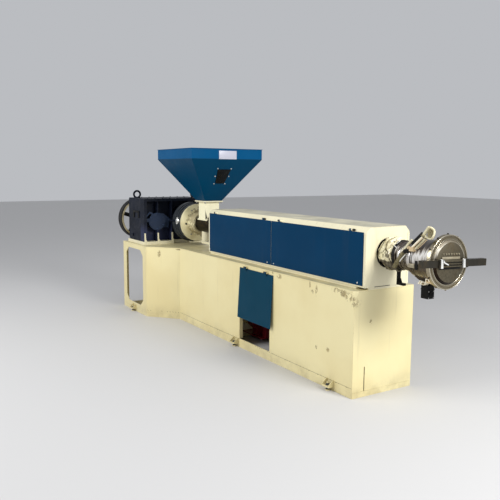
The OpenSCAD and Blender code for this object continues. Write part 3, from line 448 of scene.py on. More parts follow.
def make_finishes():
    return {
        "base": base_paint(),
        # The hood cream, whiter than the base's, and the throat cream, lighter still, are painted light
        "cream": painted("cream_paint", tone(238, 230, 196), dust=0.7),
        "throat": painted("throat_cream", tone(252, 246, 210), dirt=0.15, shade=0.97, chips=0.2),
        "flap": painted("flap_blue", tone(0, 54, 88), rough=0.34, dirt=0.04, chips=0.1, shine=0.07),
        "door": painted("door_blue", tone(0, 58, 80), rough=0.34, dirt=0.04, chips=0.12, shine=0.07),
        # The hopper's cone, under its rim, is darker as painted shade
        "hopper": painted("hopper_blue", tone(0, 80, 126), rough=0.34, dirt=0.04, chips=0.15, shine=0.08,
                          shade_below=(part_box("hopper")[1].z - 0.102, tone(0, 63, 95))),
        # The paler tone in the gearbox pocket is painted light
        "gearbox": cast_paint("gearbox_blue", tone(16, 23, 38), pocket=tone(40, 46, 74)),
        "cover": cast_paint("cover_blue", tone(38, 51, 74)),
        "iron": cast_paint("thrust_iron", tone(54, 58, 62), rough=0.42),
        "flange": flange_paint(),
        "red": cast_paint("blower_red", tone(112, 16, 28), rough=0.4),
        # Die steel and heater sheet carry the painted highlight band by height
        "steel": bare_steel("die_steel", tone(190, 184, 176), 0.2, metal=0.55, painted_light_bands=STEEL_HIGHLIGHT_BANDS),
        # Brighter steel for the painted highlight on the rims of the die ring
        "rim": bare_steel("rim_steel", tone(226, 218, 198), 0.22, 0.4),
        "ring": bare_steel("ring_steel", tone(170, 160, 136), 0.26, 0.35),
        # Worn steel, also used as painted highlight on the boss
        "worn_and_highlight": bare_steel("worn_steel", tone(176, 166, 140), 0.42, 0.3, (60, 20, 60), metal=0.3),
        "bar": bare_steel("bar_steel", tone(78, 75, 67), 0.38, 0.4, (10, 200, 10)),
        "barrel": bare_steel("barrel_steel", tone(40, 34, 27), 0.42, 0.6),
        # Heat-stained steel with a painted highlight band
        "burnt": bare_steel("heat_stained_steel", tone(112, 100, 88), 0.36, 0.5, metal=0.6,
                            painted_light_bands=BURNT_HIGHLIGHT_BANDS),
        "face": bare_steel("die_face", tone(108, 101, 84), 0.5, 0.5, (46, 46, 46)),
        # Painted highlight on top and painted shadow underneath
        "chamfer": bare_steel("chamfer_steel", tone(200, 190, 170), 0.4, 0.1, (8, 90, 90), metal=0.9,
                              painted_light_bands=CHAMFER_LIGHT_BANDS),
        "black": moulded("black_plastic", tone(13, 13, 12), dusty=0.08, shine=0.12),
        "rubber": moulded("belt_rubber", tone(24, 24, 24), 0.7),
        "wrap": woven("wrap_cloth", tone(214, 200, 160)),
        # The glass cloth darkens low down: painted shade, partly burnt
        "cloth": woven("glass_cloth", tone(236, 228, 192), burnt_and_shaded_below=0.994),
        "khaki": woven("khaki_sleeve", tone(150, 140, 104), 0.9),
        "pale": moulded("pale_ceramic", tone(250, 242, 218), 0.45, 0.15),
        "dark": moulded("black_oxide", tone(15, 14, 13), 0.5, 0.08, 0.2),
        "copper": bare_steel("brass_terminals", tone(176, 152, 112), 0.4, 0.3, (60, 60, 60)),
        "tan": moulded("tan_insulation", tone(212, 188, 148), 0.6, shine=0.3),
        "bright": bare_steel("bright_zinc", tone(246, 246, 242), 0.22, 0.1, (60, 60, 60), metal=0.5),
        "sheet": bare_steel("heater_sheet", tone(206, 200, 190), 0.22, 0.15, metal=0.15, painted_light_bands=STEEL_HIGHLIGHT_BANDS),
        "label": painted("label_grey", tone(200, 200, 214), rough=0.3, dirt=0.1, chips=0.1),
        "grime": painted("grimy_seam", tone(128, 116, 78), rough=0.6, dirt=0.5, chips=0.2),
        "pulley": pulley_paint(),
        "window": sight_pane(),
        "screw": bare_steel("screw_steel", tone(206, 204, 200), 0.24, 0.1, (60, 60, 60)),
    }


# The nodes that wear each finish

FINISH_OF = {
    "base": ["base_sill", "base_near_wall", "base_far_wall", "base_end_wall", "base_deck", "taper_walls",
             "pedestal_near_wall", "pedestal_far_wall", "pedestal_rear_frame", "pedestal_deck",
             "motor_shelf"],
    "cream": ["hood_sill", "hood_top", "hood_end_plates", "gearbox_foot", "barrel_support", "hopper_flange"],
    "throat": ["feed_throat"],
    "door": ["access_door"],
    "flap": ["flap_near_feed", "flap_near_die", "flap_far_feed", "flap_far_die"],
    "hopper": ["hopper"],
    "gearbox": ["gearbox_housing", "gearbox_lid", "motor"],
    "cover": ["bearing_cover"],
    "iron": ["thrust_housing", "motor_pulley"],
    "flange": ["feed_flange"],
    "red": ["cooling_blower"],
    "steel": ["die_body", "heater_bands"],
    "burnt": ["adapter"],
    "ring": ["die_ring"],
    "bar": ["cross_bar"],
    "barrel": ["barrel"],
    "face": ["die_plate"],
    "black": ["terminal_box", "cable_elbow"],
    "rubber": ["v_belts"],
    "wrap": ["barrel_wrap", "heater_leads"],
    "pulley": ["drive_pulley"],
    "window": ["sight_glass"],
}


def set_input(modifier, name, value):
    for item in modifier.node_group.interface.items_tree:
        if item.item_type == "SOCKET" and item.in_out == "INPUT" and item.name == name:
            modifier[item.identifier] = value
            return
    raise KeyError(name)


WELD_DISTANCE = 0.00001
SMOOTH_ANGLE = 35

# Edges of the CAD nodes: shaded smooth up to one angle and rounded from another, in degrees, by a width

CAD_SMOOTH_ANGLE = 28
CAD_EDGE_ANGLE = 40
CAD_EDGE_WIDTH = 0.0012


def smooth_and_sharp(obj, angle):
    """Adds the tree that joins and smooths; edges sharper than the angle, in degrees, stay sharp."""
    joined = obj.modifiers.new("joined_and_smooth", "NODES")
    joined.node_group = trees["smooth"]
    set_input(joined, "Sharp angle", math.radians(angle))


def dress_cad_nodes():
    for finish, names in FINISH_OF.items():
        for name in names:
            piece = nodes[name]
            piece.data.materials.clear()
            piece.data.materials.append(finishes[finish])
            smooth_and_sharp(piece, CAD_SMOOTH_ANGLE)
            rounded = piece.modifiers.new("broken_edges", "BEVEL")
            rounded.width, rounded.segments, rounded.limit_method = CAD_EDGE_WIDTH, 2, "ANGLE"
            rounded.angle_limit = math.radians(CAD_EDGE_ANGLE)
            rounded.harden_normals = True


def turns(count, start=0.0):
    """Angles spread evenly over a full turn, the first one given in degrees."""
    return [math.radians(start) + i * math.tau / count for i in range(count)]


def about(x, radius, angle, y=0.0, z=AXIS_Z):
    """A point beside a line along X, which is the barrel axis unless y and z say otherwise."""
    return (x, y + radius * math.cos(angle), z + radius * math.sin(angle))


def circle(x, radius, count, start=0.0, y=0.0, z=AXIS_Z):
    return [about(x, radius, angle, y, z) for angle in turns(count, start)]


class Solid:
    """Closed bits of one piece, drawn where they belong in the shared frame, in metres."""

    def __init__(self):
        self.mesh = bmesh.new()

    def loft(self, rings, wrap=False):
        """Joins rings of points in turn; the ends are capped unless the rings wrap round."""
        rows = [[self.mesh.verts.new(point) for point in ring] for ring in rings]
        for low, high in list(zip(rows, rows[1:])) + ([(rows[-1], rows[0])] if wrap else []):
            for i in range(len(low)):
                j = (i + 1) % len(low)
                self.mesh.faces.new((low[i], low[j], high[j], high[i]))
        if not wrap:
            self.mesh.faces.new(rows[0][::-1])
            self.mesh.faces.new(rows[-1])

    def box(self, low, high):
        (x0, y0, z0), (x1, y1, z1) = low, high
        self.loft([[(x0, y0, z), (x1, y0, z), (x1, y1, z), (x0, y1, z)] for z in (z0, z1)])

    def plate(self, outline, direction, depth):
        """A flat outline thickened along a direction."""
        step = Vector(direction).normalized() * depth
        self.loft([[Vector(p) for p in outline], [Vector(p) + step for p in outline]])

    def lathe(self, origin, axis, profile, sides, wrap=False):
        """Turns points (radius, distance along the axis) about the axis."""
        axis = Vector(axis).normalized()
        side = axis.orthogonal().normalized()
        other = axis.cross(side)
        spokes = [side * math.cos(a) + other * math.sin(a) for a in turns(sides)]
        self.loft([[Vector(origin) + axis * along + spoke * radius for spoke in spokes]
                   for radius, along in profile], wrap)

    def turned(self, profile, sides=96, wrap=False):
        """Turns points (radius, x) about the barrel axis."""
        self.lathe((0, 0, AXIS_Z), AHEAD, profile, sides, wrap)

    def rod(self, start, end, radius, sides, chamfer=0.0):
        span = Vector(end) - Vector(start)
        profile = [(radius, 0), (radius, span.length)]
        if chamfer:
            profile = [(radius - chamfer, 0), (radius, chamfer), (radius, span.length - chamfer),
                       (radius - chamfer, span.length)]
        self.lathe(start, span, profile, sides)

    def band(self, x0, x1, outer, inner):
        """A ring about the barrel axis."""
        self.turned([(inner, x0), (outer, x0), (outer, x1), (inner, x1)], 64, True)

    def made(self, name, finish, smooth_angle=SMOOTH_ANGLE, bevel=0.0, soil=None):
        """The drawn bits as one object; soil gives how dark each point is, from 0 to 1: painted shade in
        creases, and grime.
        """
        bmesh.ops.recalc_face_normals(self.mesh, faces=self.mesh.faces)
        if soil:
            layer = self.mesh.verts.layers.float.new("soil")
            for vert in self.mesh.verts:
                vert[layer] = soil(vert.co)
        data = bpy.data.meshes.new(name)
        self.mesh.to_mesh(data)
        self.mesh.free()
        obj = bpy.data.objects.new(name, data)
        data.materials.append(finishes[finish])
        bpy.context.scene.collection.objects.link(obj)
        if bevel:
            rounded = obj.modifiers.new("broken_edges", "BEVEL")
            rounded.width, rounded.segments, rounded.limit_method = bevel, 2, "ANGLE"
        smooth_and_sharp(obj, smooth_angle)
        return frozen(obj)

    def piece(self, name, finish, smooth_angle=SMOOTH_ANGLE, bevel=0.0, body="frame", slot=None, soil=None):
        """A piece on its body; slot is not used."""
        obj = self.made(name, finish, smooth_angle, bevel, soil)
        settle(obj, body)
        return obj


def frozen(obj):
    """Turns a piece with modifiers into a plain mesh."""
    solid = bpy.data.meshes.new_from_object(obj.evaluated_get(bpy.context.evaluated_depsgraph_get()))
    solid.name = obj.name
    obj.modifiers.clear()
    obj.data = solid
    return obj


def new_tree(name, *inputs):
    """An empty tree with a geometry input and the named inputs, as (tree, input node, output node)."""
    tree = bpy.data.node_groups.new(name, "GeometryNodeTree")
    for label, kind in (("Geometry", "Geometry"), *inputs):
        tree.interface.new_socket(label, in_out="INPUT", socket_type="NodeSocket" + kind)
    tree.interface.new_socket("Geometry", in_out="OUTPUT", socket_type="NodeSocketGeometry")
    return tree, tree.nodes.new("NodeGroupInput"), tree.nodes.new("NodeGroupOutput")


def new_nodes(tree, *kinds):
    return [tree.nodes.new("GeometryNode" + kind) for kind in kinds]


def link_all(tree, *links):
    """Links sockets of nodes, each line as (node, output, node, input)."""
    for start, output, end, socket in links:
        tree.links.new(start.outputs[output], end.inputs[socket])


def smooth_tree():
    """Joins loose triangles and shades them smooth, apart from the sharp edges."""
    tree, given, back = new_tree("joined_and_smooth", ("Sharp angle", "Float"))
    weld, faces, edges, angle = new_nodes(tree, "MergeByDistance", "SetShadeSmooth", "SetShadeSmooth",
                                          "InputMeshEdgeAngle")
    weld.inputs["Distance"].default_value = WELD_DISTANCE
    edges.domain = "EDGE"
    edges.inputs["Shade Smooth"].default_value = False
    compare = tree.nodes.new("FunctionNodeCompare")
    compare.operation = "GREATER_THAN"
    link_all(tree, (given, "Geometry", weld, "Geometry"), (weld, "Geometry", faces, "Geometry"),
             (faces, "Geometry", edges, "Geometry"), (angle, "Unsigned Angle", compare, 0),
             (given, "Sharp angle", compare, 1), (compare, "Result", edges, "Selection"),
             (edges, "Geometry", back, "Geometry"))
    return tree


def heads_tree():
    """Sets a head on each point, facing along the point's own direction and spun at random."""
    tree, given, back = new_tree("heads_on_points", ("Head", "Object"), ("Size", "Float"),
                                 ("Spin seed", "Int"), ("Spin range", "Float"), ("Finish", "Material"))
    facing, head, place, real, coat = new_nodes(tree, "InputNamedAttribute", "ObjectInfo", "InstanceOnPoints",
                                                "RealizeInstances", "SetMaterial")
    facing.data_type = "FLOAT_VECTOR"
    facing.inputs["Name"].default_value = "facing"
    align, spin, about, turn = (tree.nodes.new("FunctionNode" + kind) for kind in (
        "AlignRotationToVector", "RandomValue", "AxisAngleToRotation", "RotateRotation"))
    align.axis = "Z"
    spin.data_type = "FLOAT"
    about.inputs["Axis"].default_value = UP
    turn.rotation_space = "LOCAL"
    limits = {socket.identifier: socket for socket in spin.inputs}
    limits["Min_001"].default_value = 0.0
    tree.links.new(given.outputs["Spin range"], limits["Max_001"])
    tree.links.new(given.outputs["Spin seed"], limits["Seed"])
    value = "Value" if spin.outputs["Value"].type == "VALUE" else 1
    link_all(tree, (given, "Head", head, "Object"), (facing, "Attribute", align, "Vector"),
             (spin, value, about, "Angle"), (align, "Rotation", turn, "Rotation"),
             (about, "Rotation", turn, "Rotate By"), (given, "Geometry", place, "Points"),
             (head, "Geometry", place, "Instance"), (turn, "Rotation", place, "Rotation"),
             (given, "Size", place, "Scale"), (place, "Instances", real, "Geometry"),
             (real, "Geometry", coat, "Geometry"), (given, "Finish", coat, "Material"),
             (coat, "Geometry", back, "Geometry"))
    return tree


def sleeve_tree():
    """A round sleeve along a line of edges, with ridges of a given height and pitch."""
    tree, given, back = new_tree("sleeve_along_path", ("Radius", "Float"), ("Ridge height", "Float"),
                                 ("Ridge pitch", "Float"), ("Sides", "Int"), ("Step", "Float"),
                                 ("Finish", "Material"))
    curve, kind, even, along, width, circle, tube, coat = new_nodes(
        tree, "MeshToCurve", "CurveSplineType", "ResampleCurve", "SplineParameter", "SetCurveRadius",
        "CurvePrimitiveCircle", "CurveToMesh", "SetMaterial")
    kind.spline_type = "CATMULL_ROM"
    even.mode = "LENGTH"
    pitches, angle, wave, swell = (tree.nodes.new("ShaderNodeMath") for _ in range(4))
    for node, job in ((pitches, "DIVIDE"), (angle, "MULTIPLY"), (wave, "SINE"), (swell, "MULTIPLY_ADD")):
        node.operation = job
    angle.inputs[1].default_value = math.tau
    circle.inputs["Radius"].default_value = 1.0
    tube.inputs["Fill Caps"].default_value = True
    link_all(tree, (given, "Geometry", curve, "Mesh"), (curve, "Curve", kind, "Curve"),
             (kind, "Curve", even, "Curve"), (given, "Step", even, "Length"),
             (along, "Length", pitches, 0), (given, "Ridge pitch", pitches, 1), (pitches, 0, angle, 0),
             (angle, 0, wave, 0), (wave, 0, swell, 0), (given, "Ridge height", swell, 1),
             (given, "Radius", swell, 2), (even, "Curve", width, "Curve"), (swell, 0, width, "Radius"),
             (given, "Sides", circle, "Resolution"), (width, "Curve", tube, "Curve"),
             (circle, "Curve", tube, "Profile Curve"), (tube, "Mesh", coat, "Geometry"),
             (given, "Finish", coat, "Material"), (coat, "Geometry", back, "Geometry"))
    if "Scale" in tube.inputs:
        link_all(tree, (swell, 0, tube, "Scale"))
    return tree


def applied(name, data, tree, finish, body, values):
    """What a tree makes from the given data, as one plain piece on its body."""
    obj = bpy.data.objects.new(name, data)
    bpy.context.scene.collection.objects.link(obj)
    modifier = obj.modifiers.new(tree, "NODES")
    modifier.node_group = trees[tree]
    set_input(modifier, "Finish", finishes[finish])
    for label, value in values.items():
        set_input(modifier, label, value)
    smooth_and_sharp(obj, SMOOTH_ANGLE)
    bpy.context.view_layer.update()
    settle(frozen(obj), body)
    return obj


def fixings(name, head, finish, direction, points, size=1.0, seed=1, spin=math.tau, body="frame"):
    """Heads of one kind on points, as one piece; direction is one for all or a list with one for each."""
    data = bpy.data.meshes.new(name)
    data.from_pydata(points, [], [])
    facing = data.attributes.new("facing", "FLOAT_VECTOR", "POINT")
    directions = direction if isinstance(direction, list) else [direction] * len(points)
    for value, towards in zip(facing.data, directions):
        value.vector = towards
    values = {"Head": heads[head], "Size": size, "Spin seed": seed, "Spin range": spin}
    return applied(name, data, "heads", finish, body, values)


def sleeve(name, finish, lines, radius, ridge=0.0, pitch=0.006, sides=16, step=0.004):
    """Sleeves along lines of points, as one piece."""
    data = bpy.data.meshes.new(name)
    points, edges = [], []
    for line in lines:
        edges += [(len(points) + i, len(points) + i + 1) for i in range(len(line) - 1)]
        points += line
    data.from_pydata(points, edges, [])
    values = {"Radius": radius, "Ridge height": ridge, "Ridge pitch": pitch, "Sides": sides, "Step": step}
    return applied(name, data, "sleeve", finish, "frame", values)


def settle(piece, body):
    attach(piece, body)


# Heads of screws and bolts: name, number of sides and profile as (radius, height)

HEAD_PROFILES = (
    ("hex_bolt", 20, ((0.0085, -0.001), (0.0085, 0.0014), (0.0080, 0.0018))),
    ("hex_bolt", 6, ((0.0075, 0.0012), (0.0075, 0.0063), (0.0067, 0.0071))),
    ("cap_screw", 18, ((0.0065, -0.001), (0.0065, 0.0074), (0.0059, 0.0080), (0.0036, 0.0080),
                       (0.0034, 0.0035))),
    ("round_screw", 16, ((0.0052, -0.001), (0.0052, 0.0010), (0.0044, 0.0026), (0.0022, 0.0034))),
    ("nut_on_stud", 20, ((0.0095, -0.001), (0.0095, 0.0016), (0.0090, 0.0020))),
    ("nut_on_stud", 6, ((0.0075, 0.0015), (0.0075, 0.0072), (0.0067, 0.0080))),
    ("nut_on_stud", 14, ((0.0040, 0.007), (0.0040, 0.0135), (0.0034, 0.0142))))


def make_heads():
    """Small parts that are set many times: each stands on z = 0 and points up."""
    names = ("hex_bolt", "cap_screw", "round_screw", "nut_on_stud", "bead", "slot")
    shapes = {name: Solid() for name in names}
    for name, sides, profile in HEAD_PROFILES:
        shapes[name].lathe((0, 0, 0), UP, profile, sides)
    shapes["bead"].loft([[(0.011 * math.cos(a) * w, 0.0035 * math.sin(a) * w, z) for a in turns(10)]
                         for w, z in ((1, -0.001), (0.95, 0.0008), (0.5, 0.0020))])
    shapes["slot"].box((-0.02, -0.0018, -0.001), (0.02, 0.0018, 0.0006))
    return {name: solid.made("head_" + name, "screw") for name, solid in shapes.items()}


def hopper_details():
    low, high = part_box("hopper")
    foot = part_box("hopper_flange")[1]
    mid = (low.x + high.x) / 2
    face = high.x - 0.006
    solid = Solid()
    solid.box((face - 0.001, -0.100, high.z - 0.104), (face + 0.0015, 0.100, high.z - 0.021))
    solid.piece("hopper_blank_plate", "label", bevel=0.0004)
    corners = [(face + 0.0015, y, z) for y in (-0.092, 0.092) for z in (high.z - 0.096, high.z - 0.029)]
    fixings("hopper_plate_rivets", "round_screw", "screw", AHEAD, corners, 0.7)
    slope = Vector((0.303, 0, 0.431)).normalized()
    out = Vector((slope.z, 0, -slope.x))
    start = Vector((mid + 0.100, 0, foot.z))
    points = [start + slope * up + out * 0.0005 + Vector((0, side * y, 0))
              for up, y in ((0.222, 0.064), (0.315, 0.079), (0.409, 0.077)) for side in (-1, 1)]
    fixings("sight_window_screws", "round_screw", "bright", out, points, 1.25)
    solid = Solid()
    for side in (-1, 1):
        for end in (-1, 1):
            base = Vector((mid + end * 0.1, side * 0.1, foot.z + 0.004))
            top = Vector((mid + end * 0.4022, side * 0.4022, high.z - 0.103))
            solid.rod(base, top, 0.0026, 8)
    solid.piece("hopper_corner_welds", "hopper")
    points = [(mid + x, y, foot.z - 0.012 - 0.0005) for x in (-0.095, 0.095) for y in (-0.095, 0.095)]
    fixings("hopper_flange_nuts", "nut_on_stud", "screw", DOWN, points, 1.2)


def feed_details():
    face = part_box("feed_flange")[1].x - FLANGE_BOSS
    points = circle(face, 0.150, 6, 118.5)
    fixings("feed_flange_bolts", "cap_screw", "screw", AHEAD, points[:1] + points[2:], 1.35)
    solid = Solid()
    # Dark discs on the flange face stand for a hole: painted shade
    solid.rod((face - 0.001, -0.138, AXIS_Z - 0.009), (face + 0.0012, -0.138, AXIS_Z - 0.009), 0.011, 16)
    solid.rod((face - 0.001, -0.129, AXIS_Z - 0.016), (face + 0.0011, -0.129, AXIS_Z - 0.016), 0.007, 12)
    solid.piece("feed_flange_hole", "dark")
    solid = Solid()
    profile = [(0.1095, -0.002), (0.1165, -0.001), (0.1175, 0.0015), (0.1130, 0.006), (0.1095, 0.009)]
    solid.turned([(radius, face + x) for radius, x in profile], 64, True)
    solid.piece("feed_neck_weld", "flange", slot="cream")
    throat_low, throat_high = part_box("feed_throat")
    mid = (throat_low.x + throat_high.x) / 2
    y, z = throat_low.y + 0.002, AXIS_Z + 0.058
    solid = Solid()
    solid.rod((mid - 0.072, y - 0.0015, z), (mid - 0.072, y + 0.004, z), 0.0075, 14)
    solid.piece("saddle_screw", "dark")
    points = [(x, side * 0.0806, AXIS_Z + 0.067) for x in (mid - 0.092, mid + 0.092) for side in (-1, 1)]
    fixings("saddle_bolts", "cap_screw", "iron", [NEAR, FAR] * 2, points, 0.9)
    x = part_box("barrel_support")[0].x
    points = [(x + 0.02, y, AXIS_Z - 0.182 + 0.0005) for y in (-0.03, 0.03)]
    fixings("support_rail_bolts", "hex_bolt", "screw", UP, points)


def gearbox_details():
    low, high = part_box("gearbox_lid")
    lid = low.z + 0.028
    x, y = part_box("bearing_cover")[1].x, COVER_Y
    fixings("bearing_cover_bolts", "hex_bolt", "cover", AHEAD, circle(x, 0.084, 6, 30, y), 1.2)
    wing = ((0.145, 0.016), (0.128, -0.058), (-0.112, 0.015))
    points = [(x - 0.006, y + across, AXIS_Z + up) for across, up in wing]
    fixings("bearing_cover_wing_bolts", "hex_bolt", "cover", AHEAD, points, 1.1)
    points = [(x, low.y + 0.05 + i * 0.090, lid) for x in (low.x + 0.05, high.x - 0.018) for i in range(8)]
    fixings("gearbox_lid_bolts", "cap_screw", "gearbox", UP, points, 0.8)
    foot_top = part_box("gearbox_housing")[0].z
    points = [(low.x - 0.006, y, foot_top) for y in (-0.44, -0.23, -0.02, 0.17)]
    points += [(x, high.y + 0.015, foot_top) for x in (-3.62, -3.47, -3.32)]
    fixings("gearbox_foot_bolts", "hex_bolt", "screw", UP, points, 1.5)
    solid = Solid()
    for x0, z0, x1, z1 in ((-3.545, 1.118, -3.372, 1.140), (-3.545, 1.062, -3.512, 1.119),
                           (-3.405, 1.062, -3.372, 1.119)):
        solid.box((x0, low.y - 0.008, z0), (x1, low.y + 0.001, z1))
    solid.piece("gearbox_plate_holder", "dark", bevel=0.001)
    solid = Solid()
    solid.rod((low.x + 0.12, low.y - 0.012, 0.86), (low.x + 0.12, low.y + 0.002, 0.86), 0.016, 6, 0.002)
    solid.piece("gearbox_drain_plug", "gearbox", bevel=0.0006)
    solid = Solid()
    solid.box((-3.012, -0.226, 1.024), (-2.975, -0.192, 1.064))
    solid.rod((-2.976, -0.212, 1.046), (-2.958, -0.212, 1.046), 0.012, 12)
    solid.rod((-3.000, -0.212, 1.010), (-3.000, -0.212, 1.026), 0.012, 12)
    solid.rod((-2.994, -0.212, 1.062), (-2.994, -0.212, 1.082), 0.010, 12)
    solid.piece("thrust_fitting", "bright", bevel=0.002)
    pipe = [(-3.010, -0.212, 1.044), (-3.06, -0.216, 1.043), (-3.12, -0.222, 1.040), (-3.16, -0.22, 1.039),
            (-3.20, -0.20, 1.039), (-3.245, -0.17, 1.039)]
    sleeve("thrust_pipe", "gearbox", [pipe], 0.011)
    fixings("thrust_ring_bolts", "hex_bolt", "iron", AHEAD, circle(-3.050, 0.2135, 10, 18))
    points = circle(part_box("drive_pulley")[0].x + 0.012, 0.046, 3, 90, hinges["drive_pulley"].y)
    fixings("pulley_hub_bolts", "cap_screw", "iron", BACK, points, 1.2, body="drive_pulley")


def hinge_sleeves(name, hinge, spans, body):
    """Short sleeves on the pin of a hinge, each from one x to another."""
    _, y, z = hinges[hinge]
    solid = Solid()
    for x0, x1 in spans:
        solid.rod((x0, y, z), (x1, y, z), 0.0078, 16)
    solid.piece(name, "dark", body=body)


def hood_details():
    hood_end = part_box("hood_top")[1].x
    for name in ("flap_near_feed", "flap_near_die", "flap_far_feed", "flap_far_die"):
        low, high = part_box(name)
        side = -1 if "near" in name else 1
        face = hinges[name].y + side * 0.0050
        corner = 0.009 if "feed" in name else 0.042
        points = [(x, face, low.z + 0.017) for x in (low.x + corner, high.x - 0.050)]
        fixings(name + "_screws", "round_screw", "bright", (0, side, 0), points, 1.15, body=name)
        spans = [(x - 0.0085, x + 0.0085) for x in (low.x + 0.104, high.x - 0.104)]
        hinge_sleeves(name + "_hinge_sleeves", name, spans, name)
    solid = Solid()
    # Dark strip under the end plate and dark ring round the barrel hole: painted shade of the gaps there
    solid.box((hood_end - 0.006, -0.116, 0.7875), (hood_end + 0.0012, 0.030, 0.7915))
    solid.band(hood_end - 0.001, hood_end + 0.004, 0.1065, 0.1005)
    solid.piece("hood_hole_edge", "dark", bevel=0.0008)


# Where the beads of weld run: between two values of x on the straight sheets, then along the tapered ones

STRAIGHT_BACK_X, STRAIGHT_FRONT_X = -2.76, -0.06
TAPER_X, TAPER_LENGTH, TAPER_WIDTH = -2.79, 0.3, 0.261


def weld_beads():
    """Directions and points of the beads of weld along the sill, left out here and there."""
    rest = random.Random(7)
    directions, points = [], []
    for side in (-1, 1):
        x = STRAIGHT_FRONT_X
        while x > STRAIGHT_BACK_X:
            if rest.random() < 0.72:
                directions.append((0, side, 0))
                points.append((x, side * (HALF_WIDTH + 0.0002), SILL_TOP + 0.030 + 0.006 * rest.random()))
            x -= 0.028 + 0.03 * rest.random()
        for i in range(12):
            t = (i + 0.5) / 12
            if rest.random() < 0.8:
                y = side * (HALF_WIDTH + TAPER_WIDTH * t + 0.0004)
                directions.append((0.656, side * 0.754, 0))
                points.append((TAPER_X - TAPER_LENGTH * t, y, SILL_TOP + 0.030))
    return directions, points


def base_details():
    low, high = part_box("access_door")
    spans = [(x + side * 0.0115, x + side * 0.0235)
             for x in (low.x + 0.110, high.x - 0.098) for side in (-1, 1)]
    hinge_sleeves("door_hinge_sleeves", "access_door", spans, "frame")
    fixings("sill_weld_beads", "bead", "grime", *weld_beads(), 0.62, 3, 0.0)
    solid = Solid()
    for side in (-1, 1):
        inner, outer = sorted((side * HALF_WIDTH, side * (HALF_WIDTH + 0.0009)))
        for x0, x1 in ((-2.785, -1.545), (-1.025, -0.004)):
            solid.box((x0, inner, SILL_TOP + 0.0325), (x1, outer, SILL_TOP + 0.0345))
    solid.piece("sill_seam", "grime", slot="cream")
    solid = Solid()
    y, z = HALF_WIDTH - 0.004, SILL_TOP + 0.002
    solid.rod((0.0005, -y, z), (0.0005, y, z), 0.0018, 6)
    solid.piece("end_sill_seam", "base")
    lugs = [(x, side * 0.309) for x in LUG_XS for side in (-1, 1)] + [(-3.431, -0.570), (-3.431, 0.570)]
    for name, z, size, seed in (("levelling_nuts", SILL_TOP, 1.7, 5), ("levelling_feet", 0.007, 1.6, 9)):
        fixings(name, "nut_on_stud", "iron", UP, [(x, y, z) for x, y in lugs], size, seed)
    points = circle(-1.470, 0.062, 4, 45, 0.040, 0.210)
    fixings("blower_bolts", "hex_bolt", "screw", AHEAD, points, 0.9)


# Faces of the die, and the lean of its cross bar in degrees

PLATE_BACK_X = 0.5400
PLATE_FACE_X = 0.5655
BOSS_FACE_X = 0.5668
BAR_LEAN = -2.3


def on_bar(x, y, z):
    """A point given as if the cross bar were level and its middle at y = z = 0."""
    across, down = math.cos(math.radians(BAR_LEAN)), math.sin(math.radians(BAR_LEAN))
    return (x, y * across - z * down, AXIS_Z - 0.003 + y * down + z * across)


def bar_block(solid, x, y, z, depth):
    """A block that leans with the cross bar, from x forwards, between two values of y and of z."""
    corners = ((y[0], z[0]), (y[1], z[0]), (y[1], z[1]), (y[0], z[1]))
    solid.plate([on_bar(x, *corner) for corner in corners], AHEAD, depth)


def bar_details():
    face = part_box("cross_bar")[1].x
    # Bright caps on the lugs of the bar: painted highlight
    solid = Solid()
    for side, inner in ((-1, 0.010), (1, -0.0165)):
        corners = ((inner - 0.013, -0.0285), (inner + 0.009, -0.0285), (inner + 0.003, 0.0285),
                   (inner - 0.016, 0.0285))
        solid.plate([on_bar(face - 0.0118, side * 0.116 + y, z) for y, z in corners], AHEAD, 0.0128)
    solid.piece("bar_lug_caps", "bright", bevel=0.0025)
    solid = Solid()
    solid.rod(on_bar(face - 0.006, -0.098, 0.012), on_bar(face + 0.008, -0.062, -0.006), 0.0042, 12, 0.001)
    solid.rod(on_bar(face - 0.004, -0.094, 0.022), on_bar(face - 0.002, -0.084, 0.004), 0.0034, 12, 0.001)
    solid.piece("bar_locking_pin", "bright")
    solid = Solid()
    for z in ((-0.0225, -0.0145), (-0.0055, 0.0015), (0.0105, 0.0225)):
        bar_block(solid, face - 0.008 - 0.001, (-0.096, 0.096), z, 0.0016)
    solid.piece("bar_ribs", "face", bevel=0.0006)
    # A lighter strip along the top of the boss: painted highlight on its top edge
    solid = Solid()
    bar_block(solid, BOSS_FACE_X, (-0.083, 0.083), (0.0240, 0.0400), 0.0034)
    solid.piece("die_boss_step", "worn_and_highlight", bevel=0.0006)
    # A dark strip under the boss: painted shadow
    solid = Solid()
    bar_block(solid, BOSS_FACE_X, (-0.104, 0.090), (-0.0395, -0.0235), 0.0024)
    solid.piece("die_boss_gap", "dark", bevel=0.0006)


def die_details():
    ring_low, ring_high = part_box("die_ring")
    middle = Vector(((ring_low.x + ring_high.x) / 2, 0, AXIS_Z))
    outwards = [Vector((0, math.cos(a), math.sin(a))) for a in turns(12)]
    points = [middle + 0.1765 * outward for outward in outwards]
    fixings("ring_edge_screws", "cap_screw", "steel", outwards, points, 0.9)
    points = [on_bar(PLATE_FACE_X, -0.070 + 0.0235 * i, 0.0575) for i in range(7)]
    fixings("die_plate_screws", "cap_screw", "worn_and_highlight", AHEAD, points, 0.84, 4)
    # Rounded beads at the rims of the ring, in steel brighter than the ring: painted highlight along its
    # edges
    solid = Solid()
    for radius, x, size in ((0.1738, 0.5515, 0.0026), (0.1458, 0.5508, 0.0018)):
        solid.turned([(radius + size * math.cos(a), x + size * math.sin(a)) for a in turns(10)], wrap=True)
    solid.piece("die_ring_rims", "rim", 50, slot="steel")
    solid = Solid()
    solid.turned([(0.1290, PLATE_BACK_X), (0.1290, PLATE_FACE_X)])
    solid.piece("die_plate_face", "face", 30, bevel=0.0008)
    solid = Solid()
    solid.turned([(0.1270, PLATE_BACK_X), (0.1412, PLATE_BACK_X), (0.1412, 0.5525), (0.1298, 0.5650),
                  (0.1270, 0.5650)], wrap=True)
    solid.piece("die_plate_chamfer", "chamfer", 30)


